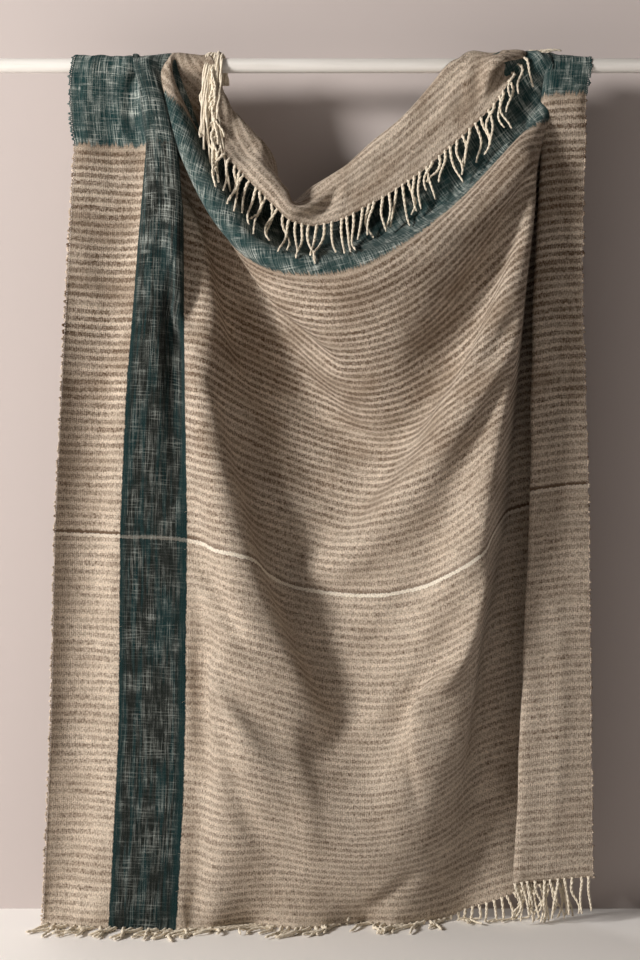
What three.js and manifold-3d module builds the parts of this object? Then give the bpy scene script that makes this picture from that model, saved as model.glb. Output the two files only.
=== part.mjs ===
// A striped wool blanket with a fringe at both ends, hung over a round rod.
// Millimetres, +Z up, the viewer at -Y. The origin is on the rod's axis, at the middle of its length.
// The cloth is a flat rectangle, u across from its left selvedge and v down from its top hem.
// It is laid over the rod along a line, settled under gravity as a net of threads that hardly stretch,
// and held near the folds and edges that the tables below name.
import * as THREE from "three";
import { mergeVertices } from "three/addons/utils/BufferGeometryUtils.js";
import Module from "manifold-3d";

// Driving dimensions
const CLOTH_WIDTH = 1270;
const CLOTH_LENGTH = 1640;
const CLOTH_THICKNESS = 2.6;
const ROD_RADIUS = 12.5;
const ROD_LENGTH = 1100;
const ROD_SIDES = 32;
const SHELF_Z = -1452;
const STRAND_LENGTH = 66;
const STRAND_RADIUS = 1.9;
const ROOT_RADIUS = 1.2;
const STRAND_COUNT = 98;
const STRIP_WIDTH = 2.6;
const PARTING = 0.3;
const TRIM = 0.05;

// Distance of the cloth's middle from the rod's axis, and from the shelf
const ROD_REST = 15.2;
const BUNCH_REST = 18.8;
const SHELF_REST = 1.6;

const table = (columns, rows) => {
  const names = columns.split(" ");
  return rows.map((row) => Object.fromEntries(names.map((name, k) => [name, row[k]])));
};

// How far off the rod's axis the cloth keeps: further where it is bunched
const RESTS = table("u reach", [
  [0, ROD_REST],
  [108, ROD_REST],
  [140, 17],
  [225, 17],
  [245, BUNCH_REST],
  [350, BUNCH_REST],
  [375, ROD_REST],
  [1000, ROD_REST],
  [1025, BUNCH_REST],
  [1205, BUNCH_REST],
  [1230, ROD_REST],
  [1270, ROD_REST],
]);

// Where the cloth crosses the rod: u and v on the cloth, and its place. From u 108 to 236 it is a loose pleat.
const ROD_LINE_LEFT = table("u v x y z", [
  [0, 155, -404, 0, ROD_REST],
  [108, 155, -312, 0, ROD_REST],
  [236, 140, -268, -2, BUNCH_REST],
  [272, 80, -243, -1, BUNCH_REST],
  [305, 35, -211, 0, BUNCH_REST],
  [335, 0, -182, 0, BUNCH_REST],
]);
const ROD_LINE_RIGHT = table("u v x y z", [
  [1032, 105, 247, -9, BUNCH_REST],
  [1080, 118, 290, -8, BUNCH_REST + 1],
  [1130, 145, 325, -5, BUNCH_REST + 1],
  [1165, 185, 352, -2, BUNCH_REST],
  [1200, 248, 386, 0, BUNCH_REST],
  [1270, 254, 455, 0, ROD_REST],
]);

// The edge along which the hanging middle is folded over to the front
const FLAP_FOLD = table("u v x y z", [
  [405, 30, -162, -16, -44],
  [450, 44, -144, -18, -78],
  [500, 55, -118, -20, -117],
  [535, 62, -98, -22, -142],
  [640, 68, -51, -24, -227],
  [662, 70, -34, -24, -239],
  [682, 70, -14, -24, -235],
  [720, 76, 17, -24, -210],
  [760, 80, 51, -24, -185],
  [870, 92, 135, -22, -105],
  [962, 98, 203, -14, -32],
  [1010, 102, 237, -10, 6],
]);

// The top hem: behind the rod at the left and right, in front between
const TOP_HEM = table("u x y z", [
  [0, -402, 18, -140],
  [108, -312, 18, -140],
  [236, -270, 20, -115],
  [272, -246, 18, -55],
  [305, -213, 17, -12],
  [335, -182, 0, BUNCH_REST],
  [400, -178, -26, -50],
  [491, -175, -34, -142],
  [519, -155, -38, -159],
  [552, -135, -42, -185],
  [671, -51, -48, -269],
  [709, -14, -48, -278],
  [758, 34, -46, -269],
  [833, 101, -42, -235],
  [913, 169, -38, -193],
  [1003, 237, -34, -134],
  [1085, 304, -32, -58],
  [1115, 318, -26, -28],
  [1150, 345, -2, ROD_REST + 8],
  [1180, 362, 18, -10],
  [1230, 394, 24, -48],
  [1270, 416, 26, -82],
]);

// Edges and folds down the cloth, each a few rows of v and u on the cloth and x and y in space
const DOWN = "v u x y";
const FOLDS = {
  leftSelvedge: table(DOWN, [
    [313, 0, -410, -16],
    [640, 0, -428, -22],
    [980, 0, -444, -25],
    [1300, 0, -450, -25],
    [1640, 0, -466, -10],
  ]),
  bandLeftEdge: table(DOWN, [
    [313, 122, -291, -14],
    [480, 122, -305, -18],
    [740, 122, -326, -24],
    [980, 122, -336, -28],
    [1300, 122, -338, -30],
    [1640, 122, -355, -38],
  ]),
  pleat: table(DOWN, [
    [172, 172, -296, -38],
    [250, 176, -274, -46],
    [313, 178, -264, -47],
    [420, 178, -258, -42],
    [600, 178, -264, -32],
    [980, 178, -280, -28],
  ]),
  bandRightEdge: table(DOWN, [
    [313, 233, -244, -20],
    [420, 233, -230, -22],
    [600, 233, -228, -26],
    [980, 233, -222, -32],
    [1400, 233, -226, -40],
    [1640, 233, -238, -53],
  ]),
  leftRidge: table(DOWN, [
    [700, 292, -186, -48],
    [860, 340, -144, -56],
    [1012, 392, -98, -62],
    [1160, 450, -40, -64],
  ]),
  lowRidge: table(DOWN, [
    [1200, 300, -188, -58],
    [1400, 300, -178, -66],
    [1600, 300, -186, -56],
  ]),
  rightRidge: table(DOWN, [
    [330, 1085, 366, -38],
    [480, 1025, 358, -60],
    [680, 955, 332, -78],
    [875, 890, 296, -88],
    [980, 865, 280, -86],
    [1078, 820, 262, -82],
    [1174, 775, 225, -76],
    [1247, 720, 152, -66],
  ]),
  recess: table(DOWN, [
    [420, 1100, 366, 20],
    [640, 1064, 350, 26],
    [980, 988, 322, 34],
    [1300, 926, 300, 34],
    [1600, 880, 305, 28],
  ]),
  hiddenFold: table(DOWN, [
    [420, 1142, 400, 32],
    [640, 1126, 404, 45],
    [980, 1082, 408, 55],
    [1300, 1045, 415, 60],
    [1600, 1010, 425, 62],
  ]),
  panelEdge: table(DOWN, [
    [330, 1199, 378, -14],
    [640, 1188, 358, -14],
    [980, 1165, 352, -10],
    [1300, 1150, 338, -14],
    [1640, 1133, 324, -14],
  ]),
  rightSelvedge: table(DOWN, [
    [330, 1270, 446, -8],
    [640, 1270, 440, -8],
    [980, 1270, 452, 5],
    [1300, 1270, 456, 5],
    [1640, 1270, 460, 5],
  ]),
};

// Loose marks in the hanging middle, each with the share of the way it pulls
const SWAG_MARKS = table("u v x y z pull", [
  [480, 313, -188, -40, -300, 0.2],
  [600, 313, -90, -50, -325, 0.3],
  [700, 313, 10, -60, -352, 0.4],
  [850, 313, 130, -45, -318, 0.3],
  [970, 313, 215, -35, -250, 0.3],
  [520, 980, -30, 15, -905, 0.3],
  [680, 980, 90, 0, -888, 0.3],
  [800, 980, 190, -35, -858, 0.3],
]);

// The bottom hem, along the shelf and then up the right panel
const BOTTOM_HEM = table("u x y z", [
  [0, -466, -10, SHELF_Z + SHELF_REST],
  [122, -355, -38, SHELF_Z + SHELF_REST],
  [233, -240, -53, SHELF_Z + SHELF_REST],
  [300, -188, -45, SHELF_Z + SHELF_REST],
  [345, -150, -22, SHELF_Z + SHELF_REST],
  [390, -112, -8, SHELF_Z + SHELF_REST],
  [430, -78, -26, SHELF_Z + SHELF_REST],
  [475, -38, -42, SHELF_Z + SHELF_REST],
  [520, 2, -30, SHELF_Z + SHELF_REST],
  [560, 34, -6, SHELF_Z + SHELF_REST],
  [610, 76, 12, SHELF_Z + SHELF_REST],
  [670, 120, -20, SHELF_Z + SHELF_REST],
  [730, 176, 8, SHELF_Z + SHELF_REST + 2],
  [800, 236, 38, SHELF_Z + SHELF_REST + 6],
  [875, 310, 32, -1430],
  [1007, 425, 60, -1402],
  [1133, 324, -14, -1364],
  [1270, 460, 5, -1346],
]);
const HEM_LIES_TO = 800;

// The stretch of the top hem that hangs in front
const FLAP_FROM = 335;
const FLAP_TO = 1150;
const FLAP_GAP = 8;
const PLEAT_FROM = 112;
const PLEAT_TO = 232;

// Settling, from a coarse net to a fine one
const STAGES = table("across down steps weight marks lines fade sweeps smoothing", [
  [32, 41, 250, 0.12, 0.3, 0.4, 0.6, 12, 0],
  [32, 41, 100, 0.02, 0.1, 0.4, 1, 24, 0],
  [64, 82, 150, 0.05, 0.1, 0.4, 0.6, 10, 0.02],
  [64, 82, 80, 0.01, 0.05, 0.4, 1, 16, 0.02],
  [127, 164, 100, 0.02, 0.05, 0.4, 0.5, 8, 0.05],
  [127, 164, 80, 0.002, 0.03, 0.3, 1, 16, 0.04],
]);
const FOLD_PULL = 0.25;
const HEM_PULL = 0.5;
const LONGEST = 1.004;
const GLIDE = 0.9;
const BEND_STIFFNESS = 0.06;
const SHEAR_STIFFNESS = 0.02;

// The solid's columns and rows, as runs of cells of the fine net
const COLUMN_RUNS = table("cells span", [[3, 4], [6, 2], [10, 1], [16, 4], [7, 2], [9, 1], [2, 3]]);
const ROW_RUNS = table("cells span", [[27, 1], [5, 4], [18, 6], [2, 4], [1, 1]]);

const clamp = (value, low, high) => Math.min(high, Math.max(low, value));

// A row of a table at any place between its own, by straight lines
function between(rows, key, place) {
  let k = 0;
  while (k < rows.length - 2 && rows[k + 1][key] < place) k += 1;
  const share = (place - rows[k][key]) / (rows[k + 1][key] - rows[k][key]);
  const blend = (name) => rows[k][name] + share * (rows[k + 1][name] - rows[k][name]);
  return Object.fromEntries(Object.keys(rows[k]).map((name) => [name, blend(name)]));
}

const TOP_LINE = [...ROD_LINE_LEFT, ...FLAP_FOLD, ...ROD_LINE_RIGHT];
const topLine = (u) => between(TOP_LINE, "u", clamp(u, 0, CLOTH_WIDTH)).v;
const inFront = (u) => u > FLAP_FROM && u < FLAP_TO;
const inPleat = (u) => u > PLEAT_FROM && u < PLEAT_TO;

// A net of points over the whole cloth
class Net {
  constructor(across, down) {
    this.across = across;
    this.down = down;
    this.stepU = CLOTH_WIDTH / across;
    this.stepV = CLOTH_LENGTH / down;
    this.points = new Float64Array((across + 1) * (down + 1) * 3);
  }

  at(i, j) {
    return (i * (this.down + 1) + j) * 3;
  }

  // The corners of the cell round a place, each with its share
  shares(u, v) {
    const a = clamp(u / this.stepU, 0, this.across - 1e-6);
    const b = clamp(v / this.stepV, 0, this.down - 1e-6);
    const i = Math.floor(a);
    const j = Math.floor(b);
    const s = a - i;
    const t = b - j;
    return [
      { k: this.at(i, j), share: (1 - s) * (1 - t) },
      { k: this.at(i + 1, j), share: s * (1 - t) },
      { k: this.at(i, j + 1), share: (1 - s) * t },
      { k: this.at(i + 1, j + 1), share: s * t },
    ];
  }

  place(u, v) {
    const corners = this.shares(u, v);
    return [0, 1, 2].map((axis) => corners.reduce((sum, c) => sum + c.share * this.points[c.k + axis], 0));
  }

  refined(across, down) {
    const finer = new Net(across, down);
    for (let i = 0; i <= across; i += 1) {
      for (let j = 0; j <= down; j += 1) {
        finer.points.set(this.place(i * finer.stepU, j * finer.stepV), finer.at(i, j));
      }
    }
    return finer;
  }

  vector(i, j) {
    return new THREE.Vector3().fromArray(this.points, this.at(i, j));
  }

  normal(i, j) {
    const alongU = this.vector(Math.min(i + 1, this.across), j).sub(this.vector(Math.max(i - 1, 0), j));
    const alongV = this.vector(i, Math.min(j + 1, this.down)).sub(this.vector(i, Math.max(j - 1, 0)));
    return alongV.cross(alongU).normalize();
  }
}

// A smooth surface through scattered marks, as a thin plate bends
class ThinPlate {
  static SCALE = 0.001;
  static SLACK = 0.0005;

  constructor(marks) {
    this.marks = marks;
    const n = marks.length;
    const size = n + 3;
    const rows = Array.from({ length: size }, () => new Float64Array(size + 3));
    marks.forEach((a, i) => {
      marks.forEach((b, j) => {
        rows[i][j] = ThinPlate.bend(a.u - b.u, a.v - b.v);
      });
      rows[i][i] += ThinPlate.SLACK;
      ThinPlate.flat(a.u, a.v).forEach((value, k) => {
        rows[i][n + k] = value;
        rows[n + k][i] = value;
      });
      rows[i].set([a.x, a.y, a.z], size);
    });
    this.weights = ThinPlate.solve(rows, size);
  }

  static bend(du, dv) {
    const square = (du * du + dv * dv) * ThinPlate.SCALE ** 2;
    return square > 0 ? 0.5 * square * Math.log(square) : 0;
  }

  static flat(u, v) {
    return [1, u * ThinPlate.SCALE, v * ThinPlate.SCALE];
  }

  static solve(rows, size) {
    for (let c = 0; c < size; c += 1) {
      let best = c;
      for (let r = c + 1; r < size; r += 1) {
        if (Math.abs(rows[r][c]) > Math.abs(rows[best][c])) best = r;
      }
      [rows[c], rows[best]] = [rows[best], rows[c]];
      for (let r = 0; r < size; r += 1) {
        const factor = r === c ? 0 : rows[r][c] / rows[c][c];
        for (let k = c; factor !== 0 && k < size + 3; k += 1) rows[r][k] -= factor * rows[c][k];
      }
    }
    return rows.map((row, i) => [0, 1, 2].map((axis) => row[size + axis] / row[i]));
  }

  place(u, v) {
    const basis = this.marks.map((mark) => ThinPlate.bend(u - mark.u, v - mark.v));
    basis.push(...ThinPlate.flat(u, v));
    return [0, 1, 2].map((axis) => basis.reduce((sum, b, i) => sum + b * this.weights[i][axis], 0));
  }
}

// First guess: the front surface through the marks, mirrored at the rod or the fold for what lies beyond
const OVER_ROD = 22;
const SWAG_SAG = 110;

function firstMarks() {
  const marks = [...SWAG_MARKS, ...FLAP_FOLD, ...ROD_LINE_LEFT, ...ROD_LINE_RIGHT];
  for (const row of Object.values(FOLDS).flat()) {
    const fall = row.v - topLine(row.u) - OVER_ROD;
    const inSwag = row.u > 280 && row.u < 1000;
    const z = inSwag ? -0.9 * fall - SWAG_SAG : -fall;
    marks.push({ u: row.u, v: row.v, x: row.x, y: row.y, z: Math.max(z, SHELF_Z + 3) });
  }
  for (const row of BOTTOM_HEM.slice(6, 15)) marks.push({ ...row, v: CLOTH_LENGTH });
  return marks;
}

function firstNet(across, down) {
  const plate = new ThinPlate(firstMarks());
  const net = new Net(across, down);
  for (let i = 0; i <= across; i += 1) {
    for (let j = 0; j <= down; j += 1) {
      const u = i * net.stepU;
      const v = j * net.stepV;
      const top = topLine(u);
      const point = plate.place(u, v < top ? 2 * top - v : v);
      if (v < top) {
        const away = Math.min(1, (top - v) / 30);
        point[1] = inFront(u) ? point[1] - 12 * away : Math.abs(point[1]) * 0.2 + 20 * away;
        if (!inFront(u) && point[2] > ROD_REST) point[2] = 2 * ROD_REST - point[2];
      }
      net.points.set(point, net.at(i, j));
    }
  }
  return net;
}

// What holds the net: firm pulls act in each sweep, loose ones once a step
function holds(net, stage) {
  const firm = [];
  const loose = [];
  const add = (list, u, v, row, pull) => {
    const corners = net.shares(u, v).filter((c) => c.share > 1e-6);
    const norm = corners.reduce((sum, c) => sum + c.share * c.share, 0);
    list.push({ corners, goal: [row.x, row.y, row.z], pull: pull / norm });
  };
  for (let i = 0; i <= net.across; i += 1) {
    const u = i * net.stepU;
    for (const line of [ROD_LINE_LEFT, ROD_LINE_RIGHT]) {
      if (u < line[0].u || u > line.at(-1).u) continue;
      const row = between(line, "u", u);
      add(firm, u, row.v, inPleat(u) ? { ...row, x: null } : row, 1);
    }
    if (u > 390 && u < 1020) {
      const row = between(FLAP_FOLD, "u", u);
      add(firm, u, row.v, row, stage.lines);
    }
    const top = between(TOP_HEM, "u", u);
    add(firm, u, 0, inPleat(u) ? { ...top, x: null } : top, stage.lines);
    const hem = between(BOTTOM_HEM, "u", u);
    add(firm, u, CLOTH_LENGTH, u < HEM_LIES_TO ? hem : { ...hem, z: null }, stage.lines * HEM_PULL);
  }
  for (const rows of Object.values(FOLDS)) {
    for (let j = 0; j <= net.down; j += 1) {
      const v = j * net.stepV;
      if (v < rows[0].v || v > rows.at(-1).v) continue;
      const row = between(rows, "v", v);
      add(firm, row.u, v, { x: row.x, y: row.y, z: null }, FOLD_PULL);
    }
  }
  for (const row of SWAG_MARKS) add(loose, row.u, row.v, row, row.pull * stage.marks);
  return { firm, loose };
}

function pull(points, hold, strength) {
  for (let axis = 0; axis < 3; axis += 1) {
    if (hold.goal[axis] === null) continue;
    let now = 0;
    for (const corner of hold.corners) now += corner.share * points[corner.k + axis];
    const move = (hold.goal[axis] - now) * strength;
    for (const corner of hold.corners) points[corner.k + axis] += move * corner.share;
  }
}

// Threads of one direction brought to their length, a colour at a time so that none shares a point
function tighten(net, du, dv, length, stiffness, pushOnly, strideU, strideV) {
  const points = net.points;
  const fall = Math.abs(dv);
  for (let a = 0; a < strideU; a += 1) {
    for (let b = 0; b < strideV; b += 1) {
      for (let i = a; i + du <= net.across; i += strideU) {
        for (let j = b; j + fall <= net.down; j += strideV) {
          const p = net.at(i, dv < 0 ? j + fall : j);
          const q = net.at(i + du, dv < 0 ? j : j + fall);
          const x = points[q] - points[p];
          const y = points[q + 1] - points[p + 1];
          const z = points[q + 2] - points[p + 2];
          const distance = Math.sqrt(x * x + y * y + z * z) || 1e-6;
          if (pushOnly && distance > length) continue;
          const f = (0.5 * stiffness * (distance - length)) / distance;
          points[p] += f * x;
          points[p + 1] += f * y;
          points[p + 2] += f * z;
          points[q] -= f * x;
          points[q + 1] -= f * y;
          points[q + 2] -= f * z;
        }
      }
    }
  }
}

function smooth(net, amount) {
  const now = net.points;
  const was = Float64Array.from(now);
  const next = net.at(1, 0);
  for (let i = 0; i <= net.across; i += 1) {
    for (let j = 0; j <= net.down; j += 1) {
      for (let k = net.at(i, j); k < net.at(i, j) + 3; k += 1) {
        let curve = 0;
        if (i > 0 && i < net.across) curve += was[k - next] + was[k + next] - 2 * was[k];
        if (j > 0 && j < net.down) curve += was[k - 3] + was[k + 3] - 2 * was[k];
        now[k] += amount * curve;
      }
    }
  }
}

// The flap stays in front of the cloth that it lies on
function partFlap(net) {
  const points = net.points;
  for (let i = 0; i <= net.across; i += 1) {
    const u = i * net.stepU;
    const top = topLine(u);
    for (let j = 0; inFront(u) && j * net.stepV < top; j += 1) {
      const v = j * net.stepV;
      const facing = Math.min(net.down, Math.round((2 * top - v) / net.stepV));
      const gap = Math.min(FLAP_GAP, (top - v) * 0.35);
      const p = net.at(i, j) + 1;
      const q = net.at(i, facing) + 1;
      const short = gap - (points[q] - points[p]);
      if (short > 0) {
        points[p] -= short / 2;
        points[q] += short / 2;
      }
    }
  }
}

// No point hangs further below the rod or the fold than its thread is long
function hang(net) {
  const points = net.points;
  for (let i = 0; i <= net.across; i += 1) {
    const top = topLine(i * net.stepU);
    const first = Math.ceil(top / net.stepV);
    const anchor = net.at(i, first);
    for (let j = first + 1; j <= net.down; j += 1) {
      const k = net.at(i, j);
      const x = points[k] - points[anchor];
      const y = points[k + 1] - points[anchor + 1];
      const z = points[k + 2] - points[anchor + 2];
      const excess = (LONGEST * (j - first) * net.stepV) / Math.sqrt(x * x + y * y + z * z);
      if (excess < 1) points[k + 2] = points[anchor + 2] + z * excess;
    }
  }
}

// The cloth stays off the rod, on its own side of it, and on or above the shelf
const ROD_SIDE_TO = 420;
const LOFT = 10;
const FRONT_LIMIT = -125;
const BACK_LIMIT = 68;

function keepClear(net) {
  const points = net.points;
  for (let i = 0; i <= net.across; i += 1) {
    const u = i * net.stepU;
    const top = topLine(u);
    const rest = between(RESTS, "u", u).reach;
    for (let j = 0; j <= net.down; j += 1) {
      const v = j * net.stepV;
      const k = net.at(i, j);
      const side = v > top || inFront(u) ? -1 : 1;
      const z = points[k + 2];
      const y = points[k + 1];
      const distance = Math.hypot(y, z);
      if (z > 0 && y * side > 0 && distance < rest) {
        points[k + 1] *= rest / distance;
        points[k + 2] *= rest / distance;
      } else if (Math.abs(z) < rest && v < ROD_SIDE_TO) {
        const reach = Math.sqrt(rest * rest - z * z);
        if (y * side < reach) points[k + 1] = side * reach;
      }
      points[k + 1] = clamp(points[k + 1], FRONT_LIMIT, BACK_LIMIT);
      points[k + 2] = clamp(points[k + 2], SHELF_Z + SHELF_REST, ROD_REST + LOFT);
    }
  }
}

function settle(net, stage) {
  const points = net.points;
  const before = Float64Array.from(points);
  const { firm, loose } = holds(net, stage);
  const diagonal = Math.hypot(net.stepU, net.stepV);
  for (let step = 0; step < stage.steps; step += 1) {
    const fade = 1 - (step / stage.steps) * (1 - stage.fade);
    for (let k = 0; k < points.length; k += 1) {
      const now = points[k];
      points[k] += (now - before[k]) * GLIDE - (k % 3 === 2 ? stage.weight : 0);
      before[k] = now;
    }
    for (const hold of loose) pull(points, hold, hold.pull * fade);
    if (stage.smoothing > 0) smooth(net, stage.smoothing);
    for (let sweep = 0; sweep < stage.sweeps; sweep += 1) {
      tighten(net, 2, 0, 2 * net.stepU, BEND_STIFFNESS, true, 4, 1);
      tighten(net, 0, 2, 2 * net.stepV, BEND_STIFFNESS, true, 1, 4);
      tighten(net, 1, 1, diagonal, SHEAR_STIFFNESS, false, 2, 2);
      tighten(net, 1, -1, diagonal, SHEAR_STIFFNESS, false, 2, 2);
      for (const hold of firm) pull(points, hold, hold.pull);
      tighten(net, 1, 0, net.stepU, 1, false, 2, 1);
      tighten(net, 0, 1, net.stepV, 1, false, 1, 2);
    }
    hang(net);
    partFlap(net);
    keepClear(net);
  }
}

function drape() {
  let net = firstNet(STAGES[0].across, STAGES[0].down);
  for (const stage of STAGES) {
    if (stage.across !== net.across) net = net.refined(stage.across, stage.down);
    settle(net, stage);
  }
  return net;
}

const indices = (runs) => {
  const list = [0];
  for (const run of runs) for (let n = 0; n < run.cells; n += 1) list.push(list.at(-1) + run.span);
  return list;
};

// A closed skin over two like grids of points, front and back
function slab(front, back) {
  const across = front.length;
  const down = front[0].length;
  const positions = [...front.flat(), ...back.flat()].flatMap((p) => p.toArray());
  const faces = [];
  const id = (side, i, j) => side * across * down + i * down + j;
  const quad = (a, b, c, d) => faces.push(a, b, c, a, c, d);
  for (let i = 0; i + 1 < across; i += 1) {
    for (let j = 0; j + 1 < down; j += 1) {
      quad(id(0, i, j), id(0, i, j + 1), id(0, i + 1, j + 1), id(0, i + 1, j));
      quad(id(1, i, j), id(1, i + 1, j), id(1, i + 1, j + 1), id(1, i, j + 1));
    }
  }
  for (let i = 0; i + 1 < across; i += 1) {
    quad(id(0, i, 0), id(0, i + 1, 0), id(1, i + 1, 0), id(1, i, 0));
    quad(id(0, i + 1, down - 1), id(0, i, down - 1), id(1, i, down - 1), id(1, i + 1, down - 1));
  }
  for (let j = 0; j + 1 < down; j += 1) {
    quad(id(0, 0, j + 1), id(0, 0, j), id(1, 0, j), id(1, 0, j + 1));
    quad(id(0, across - 1, j), id(0, across - 1, j + 1), id(1, across - 1, j + 1), id(1, across - 1, j));
  }
  const geometry = new THREE.BufferGeometry();
  geometry.setAttribute("position", new THREE.Float32BufferAttribute(positions, 3));
  geometry.setIndex(faces);
  return geometry;
}

// Points of the solid's own grid, moved out until no facet between them comes near the rod
const FACET_SAMPLES = [0.25, 0.5, 0.75];
const FACET_ROUNDS = 60;
const FACET_REACH = ROD_RADIUS + CLOTH_THICKNESS / 2 + 2 * PARTING;

function offRod(grid) {
  const push = (a, b, share) => {
    const y = a.y + share * (b.y - a.y);
    const z = a.z + share * (b.z - a.z);
    const distance = Math.hypot(y, z);
    if (distance > FACET_REACH || distance === 0) return;
    const move = FACET_REACH - distance;
    for (const [point, part] of [[a, 1 - share], [b, share]]) {
      point.y += (move * part * y) / distance;
      point.z += (move * part * z) / distance;
    }
  };
  for (let round = 0; round < FACET_ROUNDS; round += 1) {
    for (let i = 0; i + 1 < grid.length; i += 1) {
      for (let j = 0; j + 1 < grid[i].length; j += 1) {
        const [a, b, c, d] = [grid[i][j], grid[i][j + 1], grid[i + 1][j + 1], grid[i + 1][j]];
        for (const [from, to] of [[a, b], [a, d], [a, c], [b, c], [d, c], [b, d]]) {
          for (const share of FACET_SAMPLES) push(from, to, share);
        }
      }
    }
  }
}

function solidGrid(net, columns, rows) {
  const points = columns.map((i) => rows.map((j) => net.vector(i, j)));
  const normals = columns.map((i) => rows.map((j) => net.normal(i, j)));
  offRod(points);
  return { points, normals };
}

function blanketGeometry(grid, thickness) {
  const offset = (side) => grid.points.map((column, i) => column.map((point, j) => {
    return point.clone().addScaledVector(grid.normals[i][j], (side * thickness) / 2);
  }));
  return slab(offset(1), offset(-1));
}

// The way the fringe lies on the shelf
const SHELF_LEAD = new THREE.Vector3(-0.25, -1, 0).normalize();

const LEAST_TURN = 0.3;

// The hem's own frame at a column: its point, the way out of the cloth, and the cloth's normal
function hemFrame(net, i, atTop) {
  const edge = atTop ? 0 : net.down;
  const inner = atTop ? 1 : net.down - 1;
  const half = CLOTH_THICKNESS / 2;
  const point = net.vector(i, edge);
  const along = net.vector(Math.min(i + 1, net.across), edge).sub(net.vector(Math.max(i - 1, 0), edge));
  along.normalize();
  const square = (way) => way.addScaledVector(along, -way.dot(along)).normalize();
  const straight = square(point.clone().sub(net.vector(i, inner)));
  const onShelf = point.z + straight.z * (STRIP_WIDTH + PARTING) < SHELF_Z + half + PARTING;
  const out = onShelf ? square(SHELF_LEAD.clone()) : straight.clone();
  const normal = out.clone().cross(along);
  const cosine = out.dot(straight);
  const sine = Math.max(Math.sqrt(1 - Math.min(1, cosine * cosine)), LEAST_TURN);
  const under = cosine < 0 ? (-cosine * half * (1 - cosine)) / sine : 0;
  const bend = cosine > 0.999 ? 0 : half * sine + under;
  return { point, out, normal, gap: PARTING + bend };
}

function stripGeometry(frames) {
  const half = CLOTH_THICKNESS / 2;
  const corner = (frame, reach, side) => {
    return frame.point.clone().addScaledVector(frame.out, reach).addScaledVector(frame.normal, side * half);
  };
  const rows = (side) => frames.map((f) => [corner(f, f.gap, side), corner(f, f.gap + STRIP_WIDTH, side)]);
  return slab(rows(1), rows(-1));
}

// The nearest the cloth comes to the viewer, or away from them, round a place
function clothReach(net, x, z, side) {
  const near = 14;
  let reach = null;
  for (let i = 0; i <= net.across; i += 1) {
    for (let j = 0; j <= net.down; j += 1) {
      const k = net.at(i, j);
      if (Math.abs(net.points[k] - x) > near || Math.abs(net.points[k + 2] - z) > near) continue;
      const y = net.points[k + 1] * side;
      if (reach === null || y > reach) reach = y;
    }
  }
  return reach === null ? null : reach * side;
}

// A strand's way: out of the hem, then down, clear of the cloth and of the rod, or along the shelf
const STRAND_KNEES = [0.3, 1];

function strandPath(net, frame, index, side, lean) {
  const wander = Math.sin(index * 2.4) * 5;
  const length = STRAND_LENGTH + 5 * Math.sin(index * 1.7);
  const floor = SHELF_Z + STRAND_RADIUS / 2;
  const clear = CLOTH_THICKNESS / 2 + STRAND_RADIUS + 1.5;
  const start = frame.point.clone().addScaledVector(frame.out, frame.gap + STRIP_WIDTH * 0.7);
  const path = [start];
  for (const share of STRAND_KNEES) {
    const down = new THREE.Vector3(wander * share, side * lean * share, -length * (share - 0.1));
    const point = start.clone().addScaledVector(frame.out, 0.1 * length).add(down);
    if (point.z < floor + 3) {
      const over = floor - point.z;
      point.z = floor;
      point.addScaledVector(SHELF_LEAD, Math.max(0, over) * 0.95 + 4 * share + lean * share);
    } else {
      const reach = clothReach(net, point.x, point.z, side);
      if (reach !== null) point.y = side * Math.max(point.y * side, reach * side + clear);
      if (Math.abs(point.z) < ROD_REST + clear) point.y = side * Math.max(point.y * side, ROD_REST + clear);
    }
    path.push(point);
  }
  return path;
}

// A three-sided strand, flat side down where it lies
function strandGeometry(path) {
  const rings = path.map((point, k) => {
    const ahead = path[Math.min(k + 1, path.length - 1)].clone().sub(path[Math.max(k - 1, 0)]).normalize();
    const rest = Math.abs(ahead.z) > 0.9 ? new THREE.Vector3(0, -1, 0) : new THREE.Vector3(0, 0, 1);
    const across = ahead.clone().cross(rest).normalize();
    const up = across.clone().cross(ahead).normalize();
    return [90, 210, 330].map((degrees) => {
      const turn = THREE.MathUtils.degToRad(degrees);
      const reach = across.clone().multiplyScalar(Math.cos(turn)).addScaledVector(up, Math.sin(turn));
      return point.clone().addScaledVector(reach, k === 0 ? ROOT_RADIUS : STRAND_RADIUS);
    });
  });
  const faces = [0, 1, 2];
  for (let k = 0; k + 1 < rings.length; k += 1) {
    for (let s = 0; s < 3; s += 1) {
      const [a, b] = [k * 3 + s, k * 3 + ((s + 1) % 3)];
      faces.push(a, a + 3, b + 3, a, b + 3, b);
    }
  }
  const last = (rings.length - 1) * 3;
  faces.push(last, last + 2, last + 1);
  const geometry = new THREE.BufferGeometry();
  geometry.setAttribute("position", new THREE.Float32BufferAttribute(rings.flat().flatMap((p) => p.toArray()), 3));
  geometry.setIndex(faces);
  return geometry;
}

const wasm = await Module();
wasm.setup();

function toSolid(geometry) {
  geometry.deleteAttribute("normal");
  geometry.deleteAttribute("uv");
  const merged = mergeVertices(geometry);
  const solid = new wasm.Manifold(new wasm.Mesh({
    numProp: 3,
    vertProperties: Float32Array.from(merged.attributes.position.array),
    triVerts: Uint32Array.from(merged.index.array),
  }));
  return solid;
}

function fromSolid(solid) {
  const mesh = solid.getMesh();
  const geometry = new THREE.BufferGeometry();
  geometry.setAttribute("position", new THREE.BufferAttribute(Float32Array.from(mesh.vertProperties), 3));
  geometry.setIndex(Array.from(mesh.triVerts));
  return geometry;
}

// The largest shell of a solid, without the voids that crossing strands close in
function outerShell(solid) {
  return solid.decompose().reduce((best, shell) => (shell.volume() > best.volume() ? shell : best));
}

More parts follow.
